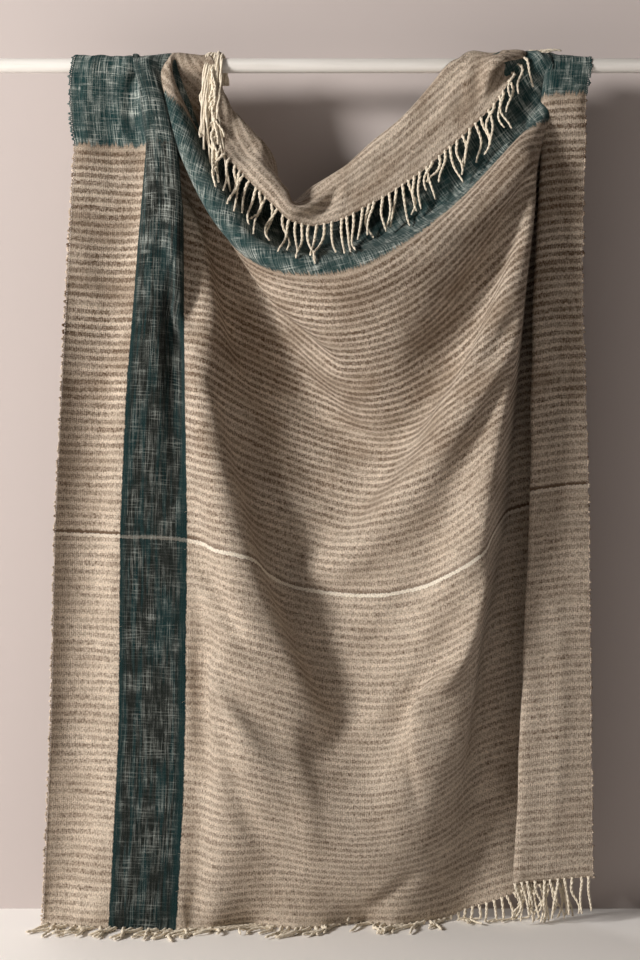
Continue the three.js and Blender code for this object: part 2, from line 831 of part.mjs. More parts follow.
// The stretches of hem that carry a fringe, and the side of the cloth on which it hangs
const FRINGES = {
  fringe_top: { atTop: true, from: 360, to: 1125, side: -1 },
  fringe_back: { atTop: true, from: 0, to: 190, side: 1 },
  fringe_bottom: { atTop: false, from: 0, to: CLOTH_WIDTH, side: -1 },
};

// A strand that touches neither the cloth nor the rod, leaning out further where it has to
const LEANS = [0, 6, 12, 20, 30];

function clearStrand(net, frame, index, side, neighbours) {
  for (const lean of LEANS) {
    const strand = toSolid(strandGeometry(strandPath(net, frame, index, side, lean)));
    if (neighbours.every((other) => strand.intersect(other).isEmpty())) return strand;
  }
  return null;
}

function fringeGeometry(net, allColumns, run, neighbours) {
  const { atTop, from, to, side } = run;
  const columns = allColumns.filter((i) => i * net.stepU >= from && i * net.stepU <= to);
  const frames = columns.map((i) => hemFrame(net, i, atTop));
  let solid = toSolid(stripGeometry(frames));
  for (let n = 0; n < STRAND_COUNT; n += 1) {
    const place = ((n + 0.5) * net.across) / STRAND_COUNT;
    if (place < columns[0] || place > columns.at(-1)) continue;
    let k = 0;
    while (k < columns.length - 2 && columns[k + 1] < place) k += 1;
    const share = (place - columns[k]) / (columns[k + 1] - columns[k]);
    const [a, b] = [frames[k], frames[k + 1]];
    const frame = {
      point: a.point.clone().lerp(b.point, share),
      out: a.out.clone().lerp(b.out, share).normalize(),
      gap: a.gap + share * (b.gap - a.gap),
    };
    const strand = clearStrand(net, frame, n, side, neighbours);
    if (strand !== null) solid = solid.add(strand);
  }
  for (const other of neighbours) solid = solid.subtract(other);
  return fromSolid(outerShell(solid).simplify(TRIM));
}

function rodGeometry(radius) {
  const geometry = new THREE.CylinderGeometry(radius, radius, ROD_LENGTH, ROD_SIDES);
  return geometry.rotateZ(Math.PI / 2);
}

const WOOL = { color: 0xb3a28c, roughness: 0.95, metalness: 0 };
const YARN = { color: 0xd9c8ac, roughness: 0.9, metalness: 0 };
const PAINT = { color: 0xded8ce, roughness: 0.45, metalness: 0 };

function part(name, geometry, finish) {
  const mesh = new THREE.Mesh(geometry, new THREE.MeshStandardMaterial(finish));
  mesh.name = name;
  return mesh;
}

const net = drape();
const columns = indices(COLUMN_RUNS);
const rows = indices(ROW_RUNS);
const grid = solidGrid(net, columns, rows);
const cloth = blanketGeometry(grid, CLOTH_THICKNESS);
const neighbours = [
  toSolid(blanketGeometry(grid, CLOTH_THICKNESS + 2 * PARTING)),
  toSolid(cloth.clone()),
  toSolid(rodGeometry(ROD_RADIUS + PARTING)),
];
const blanketOnRod = new THREE.Group();
blanketOnRod.add(
  part("blanket", cloth, WOOL),
  ...Object.entries(FRINGES).map(([name, run]) => part(name, fringeGeometry(net, columns, run, neighbours), YARN)),
  part("rod", rodGeometry(ROD_RADIUS), PAINT),
);

export default blanketOnRod;
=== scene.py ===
"""A striped wool blanket with a fringe at both ends, hung over a painted round rod.

Metres, +Z up, the viewer at -Y. The origin is on the rod's axis, at the middle of its length.
The tables of the drape are in millimetres, on the flat cloth (u across, v down) and in space (x, y, z).
"""

import logging
import math
from dataclasses import dataclass
from enum import Enum
from typing import Any, ClassVar, Iterator, Sequence

import bpy
import numpy as np
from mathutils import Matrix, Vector


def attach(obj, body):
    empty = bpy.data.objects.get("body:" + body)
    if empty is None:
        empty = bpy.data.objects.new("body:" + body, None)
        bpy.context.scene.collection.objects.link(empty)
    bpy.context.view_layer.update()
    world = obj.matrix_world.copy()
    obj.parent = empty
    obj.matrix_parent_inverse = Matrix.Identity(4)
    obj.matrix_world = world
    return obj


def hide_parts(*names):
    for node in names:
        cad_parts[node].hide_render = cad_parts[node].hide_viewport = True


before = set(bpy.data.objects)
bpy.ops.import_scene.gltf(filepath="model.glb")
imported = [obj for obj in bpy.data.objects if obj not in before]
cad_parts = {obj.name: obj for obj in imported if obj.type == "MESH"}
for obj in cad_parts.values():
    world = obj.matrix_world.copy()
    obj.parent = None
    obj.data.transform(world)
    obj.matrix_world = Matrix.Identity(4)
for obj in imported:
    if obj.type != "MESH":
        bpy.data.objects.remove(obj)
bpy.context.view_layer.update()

LOG = logging.getLogger("blanket")
MM = 0.001
SEED = 7

CLOTH_WIDTH = 1270.0
CLOTH_LENGTH = 1640.0
ROD_RADIUS = 12.5
ROD_REST = 15.2
BUNCH_REST = 18.8
SHELF_Z = -1452.0
SHELF_REST = 1.6
SHELF_CLEAR = 0.3
CLOTH_MAP = "weave"

# Smaller than any share, length or square that counts
SMALL = 1e-6
TINY = 1e-9
LEAST = 1e-30

Socket = bpy.types.NodeSocket
Value = Socket | float | tuple


class Slot(Enum):
    """The record's material slots."""

    WOOL = "blanket_wool"
    YARN = "fringe_yarn"
    ROD = "rod_white"


class Rows:
    """A short table with named columns, a row for each place along a line."""

    def __init__(self, names: str, *rows: Sequence[float]) -> None:
        """Stores the rows.

        Args:
            names: The column names, parted by spaces.
            rows: One row of numbers for each place.
        """
        self.columns = dict(zip(names.split(), np.array(rows, float).T))

    def __getitem__(self, name: str) -> np.ndarray:
        """One column."""
        return self.columns[name]

    def __iter__(self) -> Iterator[tuple[float, ...]]:
        """Each row's values, in the order of the columns."""
        return zip(*self.columns.values())

    def __add__(self, other: "Rows") -> "Rows":
        """The rows of both tables, one after the other.

        Args:
            other: The second table, with the same columns.

        Returns:
            The joined table.
        """
        joined = Rows("")
        joined.columns = {n: np.r_[c, other.columns[n]] for n, c in self.columns.items()}
        return joined

    def at(self, key: str, place: np.ndarray) -> dict[str, np.ndarray]:
        """Rows at places between the table's own, by straight lines, the end rows run on.

        Args:
            key: The column that the places are measured in.
            place: The places.

        Returns:
            Every column, worked out at each place.
        """
        keys = self.columns[key]
        k = np.clip(np.searchsorted(keys, place, side="left") - 1, 0, len(keys) - 2)
        share = (place - keys[k]) / (keys[k + 1] - keys[k])
        return {n: c[k] + share * (c[k + 1] - c[k]) for n, c in self.columns.items()}


# How far off the rod's axis the cloth keeps: further where it is bunched
RESTS = Rows(
    "u reach",
    (0, ROD_REST), (108, ROD_REST), (140, 17), (225, 17), (245, BUNCH_REST), (350, BUNCH_REST),
    (375, ROD_REST), (1000, ROD_REST), (1025, BUNCH_REST), (1205, BUNCH_REST),
    (1230, ROD_REST), (1270, ROD_REST),
)

# Where the cloth crosses the rod, and the edge along which the hanging middle is folded to the front
ROD_LINE_LEFT = Rows(
    "u v x y z",
    (0, 155, -404, 0, ROD_REST),
    (108, 155, -312, 0, ROD_REST),
    (236, 140, -268, -2, BUNCH_REST),
    (272, 80, -243, -1, BUNCH_REST),
    (305, 35, -211, 0, BUNCH_REST),
    (335, 0, -182, 0, BUNCH_REST),
)
ROD_LINE_RIGHT = Rows(
    "u v x y z",
    (1032, 105, 247, -9, BUNCH_REST),
    (1080, 118, 290, -8, BUNCH_REST + 1),
    (1130, 145, 325, -5, BUNCH_REST + 1),
    (1165, 185, 352, -2, BUNCH_REST),
    (1200, 248, 386, 0, BUNCH_REST),
    (1270, 254, 455, 0, ROD_REST),
)
FLAP_FOLD = Rows(
    "u v x y z",
    (405, 30, -162, -16, -44),
    (450, 44, -144, -18, -78),
    (500, 55, -118, -20, -117),
    (535, 62, -98, -22, -142),
    (640, 68, -51, -24, -227),
    (662, 70, -34, -24, -239),
    (682, 70, -14, -24, -235),
    (720, 76, 17, -24, -210),
    (760, 80, 51, -24, -185),
    (870, 92, 135, -22, -105),
    (962, 98, 203, -14, -32),
    (1010, 102, 237, -10, 6),
)
TOP_LINE = ROD_LINE_LEFT + FLAP_FOLD + ROD_LINE_RIGHT

# The top hem: behind the rod at the left and right, in front between
TOP_HEM = Rows(
    "u x y z",
    (0, -402, 18, -140),
    (108, -312, 18, -140),
    (236, -270, 20, -115),
    (272, -246, 18, -55),
    (305, -213, 17, -12),
    (335, -182, 0, BUNCH_REST),
    (400, -178, -26, -50),
    (491, -175, -34, -142),
    (519, -155, -38, -159),
    (552, -135, -42, -185),
    (671, -51, -48, -269),
    (709, -14, -48, -278),
    (758, 34, -46, -269),
    (833, 101, -42, -235),
    (913, 169, -38, -193),
    (1003, 237, -34, -134),
    (1085, 304, -32, -58),
    (1115, 318, -26, -28),
    (1150, 345, -2, ROD_REST + 8),
    (1180, 362, 18, -10),
    (1230, 394, 24, -48),
    (1270, 416, 26, -82),
)

# Edges and folds down the cloth
DOWN = "v u x y"
FOLDS = {
    "left_selvedge": Rows(
        DOWN,
        (313, 0, -410, -16), (640, 0, -428, -22), (980, 0, -444, -25),
        (1300, 0, -450, -25), (1640, 0, -466, -10),
    ),
    "band_left_edge": Rows(
        DOWN,
        (313, 122, -291, -14), (480, 122, -305, -18), (740, 122, -326, -24),
        (980, 122, -336, -28), (1300, 122, -338, -30), (1640, 122, -355, -38),
    ),
    "pleat": Rows(
        DOWN,
        (172, 172, -296, -38), (250, 176, -274, -46), (313, 178, -264, -47),
        (420, 178, -258, -42), (600, 178, -264, -32), (980, 178, -280, -28),
    ),
    "band_right_edge": Rows(
        DOWN,
        (313, 233, -244, -20), (420, 233, -230, -22), (600, 233, -228, -26),
        (980, 233, -222, -32), (1400, 233, -226, -40), (1640, 233, -238, -53),
    ),
    "left_ridge": Rows(
        DOWN,
        (700, 292, -186, -48), (860, 340, -144, -56), (1012, 392, -98, -62), (1160, 450, -40, -64),
    ),
    "low_ridge": Rows(DOWN, (1200, 300, -188, -58), (1400, 300, -178, -66), (1600, 300, -186, -56)),
    "right_ridge": Rows(
        DOWN,
        (330, 1085, 366, -38), (480, 1025, 358, -60), (680, 955, 332, -78), (875, 890, 296, -88),
        (980, 865, 280, -86), (1078, 820, 262, -82), (1174, 775, 225, -76), (1247, 720, 152, -66),
    ),
    "recess": Rows(
        DOWN,
        (420, 1100, 366, 20), (640, 1064, 350, 26), (980, 988, 322, 34),
        (1300, 926, 300, 34), (1600, 880, 305, 28),
    ),
    "hidden_fold": Rows(
        DOWN,
        (420, 1142, 400, 32), (640, 1126, 404, 45), (980, 1082, 408, 55),
        (1300, 1045, 415, 60), (1600, 1010, 425, 62),
    ),
    "panel_edge": Rows(
        DOWN,
        (330, 1199, 378, -14), (640, 1188, 358, -14), (980, 1165, 352, -10),
        (1300, 1150, 338, -14), (1640, 1133, 324, -14),
    ),
    "right_selvedge": Rows(
        DOWN,
        (330, 1270, 446, -8), (640, 1270, 440, -8), (980, 1270, 452, 5),
        (1300, 1270, 456, 5), (1640, 1270, 460, 5),
    ),
}

# Loose marks in the hanging middle, each with the share of the way it pulls
SWAG_MARKS = Rows(
    "u v x y z pull",
    (480, 313, -188, -40, -300, 0.2),
    (600, 313, -90, -50, -325, 0.3),
    (700, 313, 10, -60, -352, 0.4),
    (850, 313, 130, -45, -318, 0.3),
    (970, 313, 215, -35, -250, 0.3),
    (520, 980, -30, 15, -905, 0.3),
    (680, 980, 90, 0, -888, 0.3),
    (800, 980, 190, -35, -858, 0.3),
)

# The bottom hem, along the shelf and then up the right panel
HEM_Z = SHELF_Z + SHELF_REST
BOTTOM_HEM = Rows(
    "u x y z",
    (0, -466, -10, HEM_Z),
    (122, -355, -38, HEM_Z),
    (233, -240, -53, HEM_Z),
    (300, -188, -45, HEM_Z),
    (345, -150, -22, HEM_Z),
    (390, -112, -8, HEM_Z),
    (430, -78, -26, HEM_Z),
    (475, -38, -42, HEM_Z),
    (520, 2, -30, HEM_Z),
    (560, 34, -6, HEM_Z),
    (610, 76, 12, HEM_Z),
    (670, 120, -20, HEM_Z),
    (730, 176, 8, HEM_Z + 2),
    (800, 236, 38, HEM_Z + 6),
    (875, 310, 32, -1430),
    (1007, 425, 60, -1402),
    (1133, 324, -14, -1364),
    (1270, 460, 5, -1346),
)


@dataclass(frozen=True)
class Stage:
    """One stage of the settling, on a net of across by down cells."""

    across: int
    down: int
    steps: int
    weight: float
    marks: float
    lines: float
    fade: float
    sweeps: int
    smoothing: float


STAGES = (
    Stage(32, 41, 250, 0.12, 0.3, 0.4, 0.6, 12, 0),
    Stage(32, 41, 100, 0.02, 0.1, 0.4, 1, 24, 0),
    Stage(64, 82, 150, 0.05, 0.1, 0.4, 0.6, 10, 0.02),
    Stage(64, 82, 80, 0.01, 0.05, 0.4, 1, 16, 0.02),
    Stage(127, 164, 100, 0.02, 0.05, 0.4, 0.5, 8, 0.05),
    Stage(127, 164, 80, 0.002, 0.03, 0.3, 1, 16, 0.04),
)


def in_cells(place: np.ndarray, cells: int) -> tuple[np.ndarray, np.ndarray]:
    """The cell of a row that each place is in, and the share of the way through it.

    Args:
        place: Places along the row, in cells from its start.
        cells: How many cells the row has.

    Returns:
        The cells' numbers and the shares.
    """
    inside = np.clip(place, 0, cells - SMALL)
    cell = inside.astype(int)
    return cell, inside - cell


@dataclass(frozen=True)
class Hold:
    """A firm pull on many places of the net at once, each between two of its points."""

    first: tuple[np.ndarray, np.ndarray]
    second: tuple[np.ndarray, np.ndarray]
    first_share: np.ndarray
    second_share: np.ndarray
    goal: np.ndarray
    pull: np.ndarray

    def act(self, points: np.ndarray) -> None:
        """Moves the net's points towards the goal.

        Args:
            points: The net.
        """
        now = self.first_share * points[self.first] + self.second_share * points[self.second]
        move = (self.goal - now) * self.pull
        points[self.first] += move * self.first_share
        points[self.second] += move * self.second_share


@dataclass
class Drape:
    """The flat cloth, laid over the rod and settled under its weight as a net of threads."""

    fold_pull: float = 0.25
    hem_pull: float = 0.5
    longest: float = 1.004
    glide: float = 0.9
    bend: float = 0.06
    shear: float = 0.02
    flap_from: float = 335
    flap_to: float = 1150
    flap_gap: float = 8
    flap_slope: float = 0.35
    pleat_from: float = 112
    pleat_to: float = 232
    fold_held_from: float = 390
    fold_held_to: float = 1020
    hem_lies_to: float = 800
    loft: float = 10
    front_limit: float = -125
    back_limit: float = 68
    rod_side_to: float = 420

    # The first guess: how the marks hang, and how the cloth beyond the rod or the fold turns away
    over_rod: float = 22
    swag_sag: float = 110
    swag_share: float = 0.9
    swag_from: float = 280
    swag_to: float = 1000
    first_lift: float = 3
    hem_mark_from: int = 6
    hem_mark_to: int = 15
    plate_ease: float = 0.0005
    turn_length: float = 30
    front_step: float = 12
    back_step: float = 20
    back_share: float = 0.2

    @staticmethod
    def lines(across: int, down: int) -> tuple[np.ndarray, np.ndarray]:
        """Where a net's threads lie on the flat cloth, across and down it."""
        return np.arange(across + 1) * CLOTH_WIDTH / across, np.arange(down + 1) * CLOTH_LENGTH / down

    def top_line(self, u: np.ndarray) -> np.ndarray:
        """How far down the cloth it crosses the rod or the fold, at places across it."""
        return TOP_LINE.at("u", np.clip(u, 0, CLOTH_WIDTH))["v"]

    def first_marks(self) -> np.ndarray:
        """The places that the first guess goes through.

        Returns:
            Rows of u, v, x, y and z.
        """
        tables = (SWAG_MARKS, FLAP_FOLD, ROD_LINE_LEFT, ROD_LINE_RIGHT)
        marks = [np.stack([t[n] for n in "uvxyz"], 1) for t in tables]
        for rows in FOLDS.values():
            fall = rows["v"] - self.top_line(rows["u"]) - self.over_rod
            in_swag = (rows["u"] > self.swag_from) & (rows["u"] < self.swag_to)
            hung = np.where(in_swag, -self.swag_share * fall - self.swag_sag, -fall)
            z = np.maximum(hung, SHELF_Z + self.first_lift)
            marks.append(np.stack([rows["u"], rows["v"], rows["x"], rows["y"], z], 1))
        hem = np.stack([BOTTOM_HEM[n] for n in "uxyz"], 1)[self.hem_mark_from:self.hem_mark_to]
        marks.append(np.insert(hem, 1, CLOTH_LENGTH, axis=1))
        return np.concatenate(marks)

    def first_net(self, across: int, down: int) -> np.ndarray:
        """A smooth sheet through the marks, mirrored at the rod or the fold for what lies beyond.

        Args:
            across: Cells across the net.
            down: Cells down the net.

        Returns:
            The net's points.
        """
        marks = self.first_marks()
        flat = marks[:, :2] * MM

        def plate(places: np.ndarray) -> np.ndarray:
            """How much each mark bends the sheet at some places on it.

            Args:
                places: The places.

            Returns:
                A row for each place and a column for each mark.
            """
            square = ((places[:, None] - flat[None]) ** 2).sum(-1)
            return np.where(square > 0, 0.5 * square * np.log(np.maximum(square, LEAST)), 0)

        count = len(marks)
        level = np.c_[np.ones(count), flat]
        system = np.zeros((count + 3, count + 3))
        system[:count, :count] = plate(flat) + self.plate_ease * np.eye(count)
        system[:count, count:] = level
        system[count:, :count] = level.T
        weights = np.linalg.solve(system, np.r_[marks[:, 2:], np.zeros((3, 3))])
        u, v = np.meshgrid(*self.lines(across, down), indexing="ij")
        top = self.top_line(u[:, 0])[:, None]
        places = np.stack([u.ravel(), np.where(v < top, 2 * top - v, v).ravel()], 1) * MM
        terms = np.c_[plate(places), np.ones(len(places)), places]
        points = (terms @ weights).reshape(across + 1, down + 1, 3)
        above = v < top
        away = np.minimum(1, (top - v) / self.turn_length)
        front = (u > self.flap_from) & (u < self.flap_to)
        behind = np.abs(points[..., 1]) * self.back_share + self.back_step * away
        moved = np.where(front, points[..., 1] - self.front_step * away, behind)
        points[..., 1] = np.where(above, moved, points[..., 1])
        flip = above & ~front & (points[..., 2] > ROD_REST)
        points[..., 2] = np.where(flip, 2 * ROD_REST - points[..., 2], points[..., 2])
        return points

    @staticmethod
    def refined(points: np.ndarray, across: int, down: int) -> np.ndarray:
        """The net with more cells, by straight lines between its points.

        Args:
            points: The net.
            across: Cells across the new net.
            down: Cells down the new net.

        Returns:
            The new net.
        """
        was_across, was_down = points.shape[0] - 1, points.shape[1] - 1
        i, s = in_cells(np.arange(across + 1) * (was_across / across), was_across)
        j, t = in_cells(np.arange(down + 1) * (was_down / down), was_down)
        s, t = s[:, None, None], t[None, :, None]
        rows = (1 - s) * points[i] + s * points[i + 1]
        return (1 - t) * rows[:, j] + t * rows[:, j + 1]

    @staticmethod
    def tighten(
        points: np.ndarray, step: tuple[int, int], length: float, stiffness: float, stride: tuple[int, int],
        push_only: bool = False,
    ) -> None:
        """Brings the threads of one direction to their length, in passes that share no point.

        Args:
            points: The net.
            step: Cells across and down from a thread's start to its end.
            length: The thread's length.
            stiffness: The share of the way that it moves.
            stride: Cells between the threads of one pass.
            push_only: Whether threads that are too long are left as they are.
        """
        across, down = points.shape[0] - 1, points.shape[1] - 1
        du, dv = step
        fall = abs(dv)
        for a in range(stride[0]):
            for b in range(stride[1]):
                low, high = slice(b, down + 1 - fall, stride[1]), slice(b + fall, None, stride[1])
                start = points[a:across + 1 - du:stride[0], high if dv < 0 else low]
                end = points[a + du::stride[0], low if dv < 0 else high]
                way = end - start
                distance = np.maximum(np.sqrt((way * way).sum(-1)), SMALL)
                share = 0.5 * stiffness * (distance - length) / distance
                if push_only:
                    share[distance > length] = 0
                way *= share[..., None]
                start += way
                end -= way

    @staticmethod
    def hold(first: tuple, second: tuple, share: np.ndarray, goal: np.ndarray, pull: float) -> Hold:
        """A firm pull on places that lie between two points each.

        Args:
            first: The numbers of each place's first point.
            second: The numbers of its second point.
            share: How far it is from the first point to the second.
            goal: Where the places go. What isn't a number is left free.
            pull: The share of the way that they move.

        Returns:
            The pull.
        """
        share = np.where(share > SMALL, share, 0)
        rest = 1 - share
        free = np.isnan(goal)
        strength = (pull / (share**2 + rest**2))[:, None] * ~free
        return Hold(first, second, rest[:, None], share[:, None], np.where(free, 0, goal), strength)

    def firm_holds(self, u: np.ndarray, v: np.ndarray, stage: Stage) -> list[Hold]:
        """The rod lines, the flap's fold, both hems and the folds, as firm pulls.

        Args:
            u: Where the threads down the cloth lie across it.
            v: Where the threads across the cloth lie down it.
            stage: The stage's pulls.

        Returns:
            The pulls.
        """
        holds = []

        def across_line(
            which: np.ndarray, place: np.ndarray, goal: dict[str, np.ndarray], pull: float
        ) -> None:
            """Adds a line across the cloth.

            Args:
                which: Whether the line crosses each thread.
                place: How far down each thread it does.
                goal: Where it goes, by x, y and z.
                pull: The share of the way that it moves.
            """
            i = np.nonzero(which)[0]
            j, share = in_cells(place[i] / v[1], len(v) - 1)
            goals = np.stack([goal[k][i] for k in "xyz"], 1)
            holds.append(self.hold((i, j), (i, j + 1), share, goals, pull))

        pleat = (u > self.pleat_from) & (u < self.pleat_to)
        for line in (ROD_LINE_LEFT, ROD_LINE_RIGHT):
            goal = line.at("u", u)
            goal["x"] = np.where(pleat, np.nan, goal["x"])
            across_line((u >= line["u"][0]) & (u <= line["u"][-1]), goal["v"], goal, 1.0)
        goal = FLAP_FOLD.at("u", u)
        across_line((u > self.fold_held_from) & (u < self.fold_held_to), goal["v"], goal, stage.lines)
        goal = TOP_HEM.at("u", u)
        goal["x"] = np.where(pleat, np.nan, goal["x"])
        across_line(u >= 0, u * 0, goal, stage.lines)
        goal = BOTTOM_HEM.at("u", u)
        goal["z"] = np.where(u < self.hem_lies_to, goal["z"], np.nan)
        across_line(u >= 0, u * 0 + CLOTH_LENGTH, goal, stage.lines * self.hem_pull)
        for rows in FOLDS.values():
            goal = rows.at("v", v)
            j = np.nonzero((v >= rows["v"][0]) & (v <= rows["v"][-1]))[0]
            i, share = in_cells(goal["u"][j] / u[1], len(u) - 1)
            goals = np.stack([goal["x"][j], goal["y"][j], np.full(len(j), np.nan)], 1)
            holds.append(self.hold((i, j), (i + 1, j), share, goals, self.fold_pull))
        return holds

    @staticmethod
    def pull_marks(points: np.ndarray, u: np.ndarray, v: np.ndarray, strength: float) -> None:
        """Draws the loose marks of the hanging middle towards their places.

        Args:
            points: The net.
            u: Where its threads lie across the cloth.
            v: Where its threads lie down the cloth.
            strength: The share of each mark's pull that acts.
        """
        for mark_u, mark_v, x, y, z, pull in SWAG_MARKS:
            i, j = int(mark_u / u[1]), int(mark_v / v[1])
            s, t = mark_u / u[1] - i, mark_v / v[1] - j
            shares = np.array([[(1 - s) * (1 - t), (1 - s) * t], [s * (1 - t), s * t]])[..., None]
            corner = points[i:i + 2, j:j + 2]
            away = np.array([x, y, z]) - (shares * corner).sum((0, 1))
            corner += away * pull * strength / (shares**2).sum() * shares

    def settle(self, points: np.ndarray, stage: Stage, steps: int) -> None:
        """Lets the net fall and come to rest, in place.

        Args:
            points: The net.
            stage: The stage's weights and pulls.
            steps: How many steps it takes.
        """
        down = points.shape[1] - 1
        u, v = self.lines(points.shape[0] - 1, down)
        holds = self.firm_holds(u, v, stage)
        top = self.top_line(u)
        front = (u > self.flap_from) & (u < self.flap_to)
        flap = self.flap_pairs(v, top, front)
        rest = RESTS.at("u", u)["reach"][:, None]
        side = np.where((v[None] > top[:, None]) | front[:, None], -1.0, 1.0)
        first = np.ceil(top / v[1]).astype(int)
        fall = (np.arange(down + 1)[None] - first[:, None]) * v[1]
        diagonal = math.hypot(u[1], v[1])
        before = points.copy()
        for step in range(steps):
            now = points.copy()
            points += (now - before) * self.glide
            points[..., 2] -= stage.weight
            before = now
            fade = 1 - (step / steps) * (1 - stage.fade)
            self.pull_marks(points, u, v, stage.marks * fade)
            if stage.smoothing > 0:
                was = points.copy()
                points[1:-1] += stage.smoothing * (was[:-2] + was[2:] - 2 * was[1:-1])
                points[:, 1:-1] += stage.smoothing * (was[:, :-2] + was[:, 2:] - 2 * was[:, 1:-1])
            for _ in range(stage.sweeps):
                self.tighten(points, (2, 0), 2 * u[1], self.bend, (4, 1), True)
                self.tighten(points, (0, 2), 2 * v[1], self.bend, (1, 4), True)
                self.tighten(points, (1, 1), diagonal, self.shear, (2, 2))
                self.tighten(points, (1, -1), diagonal, self.shear, (2, 2))
                for hold in holds:
                    hold.act(points)
                self.tighten(points, (1, 0), u[1], 1, (2, 1))
                self.tighten(points, (0, 1), v[1], 1, (1, 2))
            self.hang(points, first, fall)
            self.part_flap(points, flap)
            self.keep_clear(points, rest, side, v)

    def hang(self, points: np.ndarray, first: np.ndarray, fall: np.ndarray) -> None:
        """No point hangs further below the rod or the fold than its thread is long.

        Args:
            points: The net.
            first: The first point of each thread below the rod or the fold.
            fall: The length of thread from there to each point.
        """
        anchor = points[np.arange(len(first)), first][:, None]
        way = points - anchor
        share = self.longest * fall / np.maximum(np.sqrt((way * way).sum(-1)), TINY)
        hung = anchor[..., 2] + way[..., 2] * share
        points[..., 2] = np.where((fall > 0) & (share < 1), hung, points[..., 2])

    def flap_pairs(self, v: np.ndarray, top: np.ndarray, front: np.ndarray) -> tuple[np.ndarray, ...]:
        """The points of the flap, with what lies behind each.

        Args:
            v: Where the net's threads lie down the cloth.
            top: How far down each thread crosses the rod or the fold.
            front: Which threads hang over to the front.

        Returns:
            Each point's two numbers, the point behind it and the gap that they keep.
        """
        i, j = np.nonzero(front[:, None] & (v[None] < top[:, None]))
        facing = np.floor((2 * top[i] - v[j]) / v[1] + 0.5).astype(int)
        gap = np.minimum(self.flap_gap, (top[i] - v[j]) * self.flap_slope)
        return i, j, np.minimum(len(v) - 1, facing), gap

    @staticmethod
    def part_flap(points: np.ndarray, flap: tuple[np.ndarray, ...]) -> None:
        """Keeps the flap in front of the cloth that it lies on.

        Args:
            points: The net.
            flap: The flap's points, with what lies behind each.
        """
        i, j, facing, gap = flap
        short = np.maximum(gap - (points[i, facing, 1] - points[i, j, 1]), 0) / 2
        points[i, j, 1] -= short
        np.add.at(points[..., 1], (i, facing), short)

    def keep_clear(self, points: np.ndarray, rest: np.ndarray, side: np.ndarray, v: np.ndarray) -> None:
        """Keeps the cloth off the rod, on its own side of it, and on or above the shelf.

        Args:
            points: The net.
            rest: How far off the rod's axis each thread keeps.
            side: Whether each point is before (-1) or behind (1) the rod.
            v: Where the net's threads lie down the cloth.
        """
        y, z = points[..., 1].copy(), points[..., 2].copy()
        distance = np.hypot(y, z)
        over = (z > 0) & (y * side > 0) & (distance < rest)
        scale = np.where(over, rest / np.maximum(distance, TINY), 1)
        reach = np.sqrt(np.maximum(rest**2 - z**2, 0))
        beside = ~over & (np.abs(z) < rest) & (v < self.rod_side_to)[None] & (y * side < reach)
        points[..., 1] = np.clip(np.where(beside, side * reach, y * scale), self.front_limit, self.back_limit)
        points[..., 2] = np.clip(z * scale, HEM_Z, ROD_REST + self.loft)

    def run(self) -> np.ndarray:
        """Settles the cloth through all the stages.

        Returns:
            The net's points in millimetres, across by down by 3.
        """
        points = self.first_net(STAGES[0].across, STAGES[0].down)
        for stage in STAGES:
            if stage.across != points.shape[0] - 1:
                points = self.refined(points, stage.across, stage.down)
            self.settle(points, stage, max(1, int(stage.steps * (1))))
        return points


def smooth_grid(points: np.ndarray, cells: int) -> np.ndarray:
    """A grid of points made finer along its first side, as a smooth cubic line through the middles.

    Args:
        points: The grid.
        cells: New cells for each old one.

    Returns:
        The finer grid, with the same end points.
    """
    ends = np.concatenate([2 * points[:1] - points[1:2], points, 2 * points[-1:] - points[-2:-1]])
    place = np.arange((len(points) - 1) * cells + 1) / cells
    k = np.minimum(place.astype(int), len(points) - 2)
    t = (place - k).reshape((-1,) + (1,) * (points.ndim - 1))
    weights = ((1 - t) ** 3, 3 * t**3 - 6 * t**2 + 4, -3 * t**3 + 3 * t**2 + 3 * t + 1, t**3)
    return sum(w * ends[k + n] for n, w in enumerate(weights)) / 6


def unit(way: np.ndarray) -> np.ndarray:
    """Vectors brought to length one."""
    return way / np.maximum(np.linalg.norm(way, axis=-1, keepdims=True), TINY)


def around(sides: int) -> np.ndarray:
    """The angles of even points round a circle."""
    return np.arange(sides) * 2 * math.pi / sides


def ring_faces(number: np.ndarray) -> np.ndarray:
    """Four-sided faces between rings of points.

    Args:
        number: The points' numbers, a row for each ring.

    Returns:
        Rows of four point numbers.
    """
    after = np.roll(number, -1, axis=1)
    return np.stack([number[:-1], number[1:], after[1:], after[:-1]], -1).reshape(-1, 4)


def placed(name: str, data: bpy.types.ID) -> bpy.types.Object:
    """A new object at the origin, linked to the scene.

    Args:
        name: Its name.
        data: Its mesh, light or camera.

    Returns:
        The object.
    """
    made = bpy.data.objects.new(name, data)
    bpy.context.scene.collection.objects.link(made)
    return made


def new_piece(
    name: str, vertices: np.ndarray | Sequence, faces: np.ndarray | Sequence, material: bpy.types.Material
) -> bpy.types.Object:
    """A mesh object at the origin, smooth shaded.

    Args:
        name: The piece's name.
        vertices: Points in millimetres.
        faces: Rows of point numbers, as long as each face needs.
        material: Its finish.

    Returns:
        The object, linked to the scene.
    """
    mesh = bpy.data.meshes.new(name)
    rows = faces.tolist() if isinstance(faces, np.ndarray) else faces
    mesh.from_pydata((np.asarray(vertices) * MM).tolist(), [], rows)
    mesh.polygons.foreach_set("use_smooth", [True] * len(mesh.polygons))
    mesh.materials.append(material)
    mesh.update()
    return placed(name, mesh)


def finish_piece(piece: bpy.types.Object, slot: Slot, *nodes: str) -> None:
    """Hangs a finished piece on the one body, hides the solids that it stands for and reports it.

    Args:
        piece: The piece.
        slot: Its material slot; not used.
        nodes: The solids that it takes the place of.
    """
    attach(piece, "root")
    if nodes:
        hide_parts(*nodes)
    LOG.info("%s: %d faces", piece.name, len(piece.data.polygons))


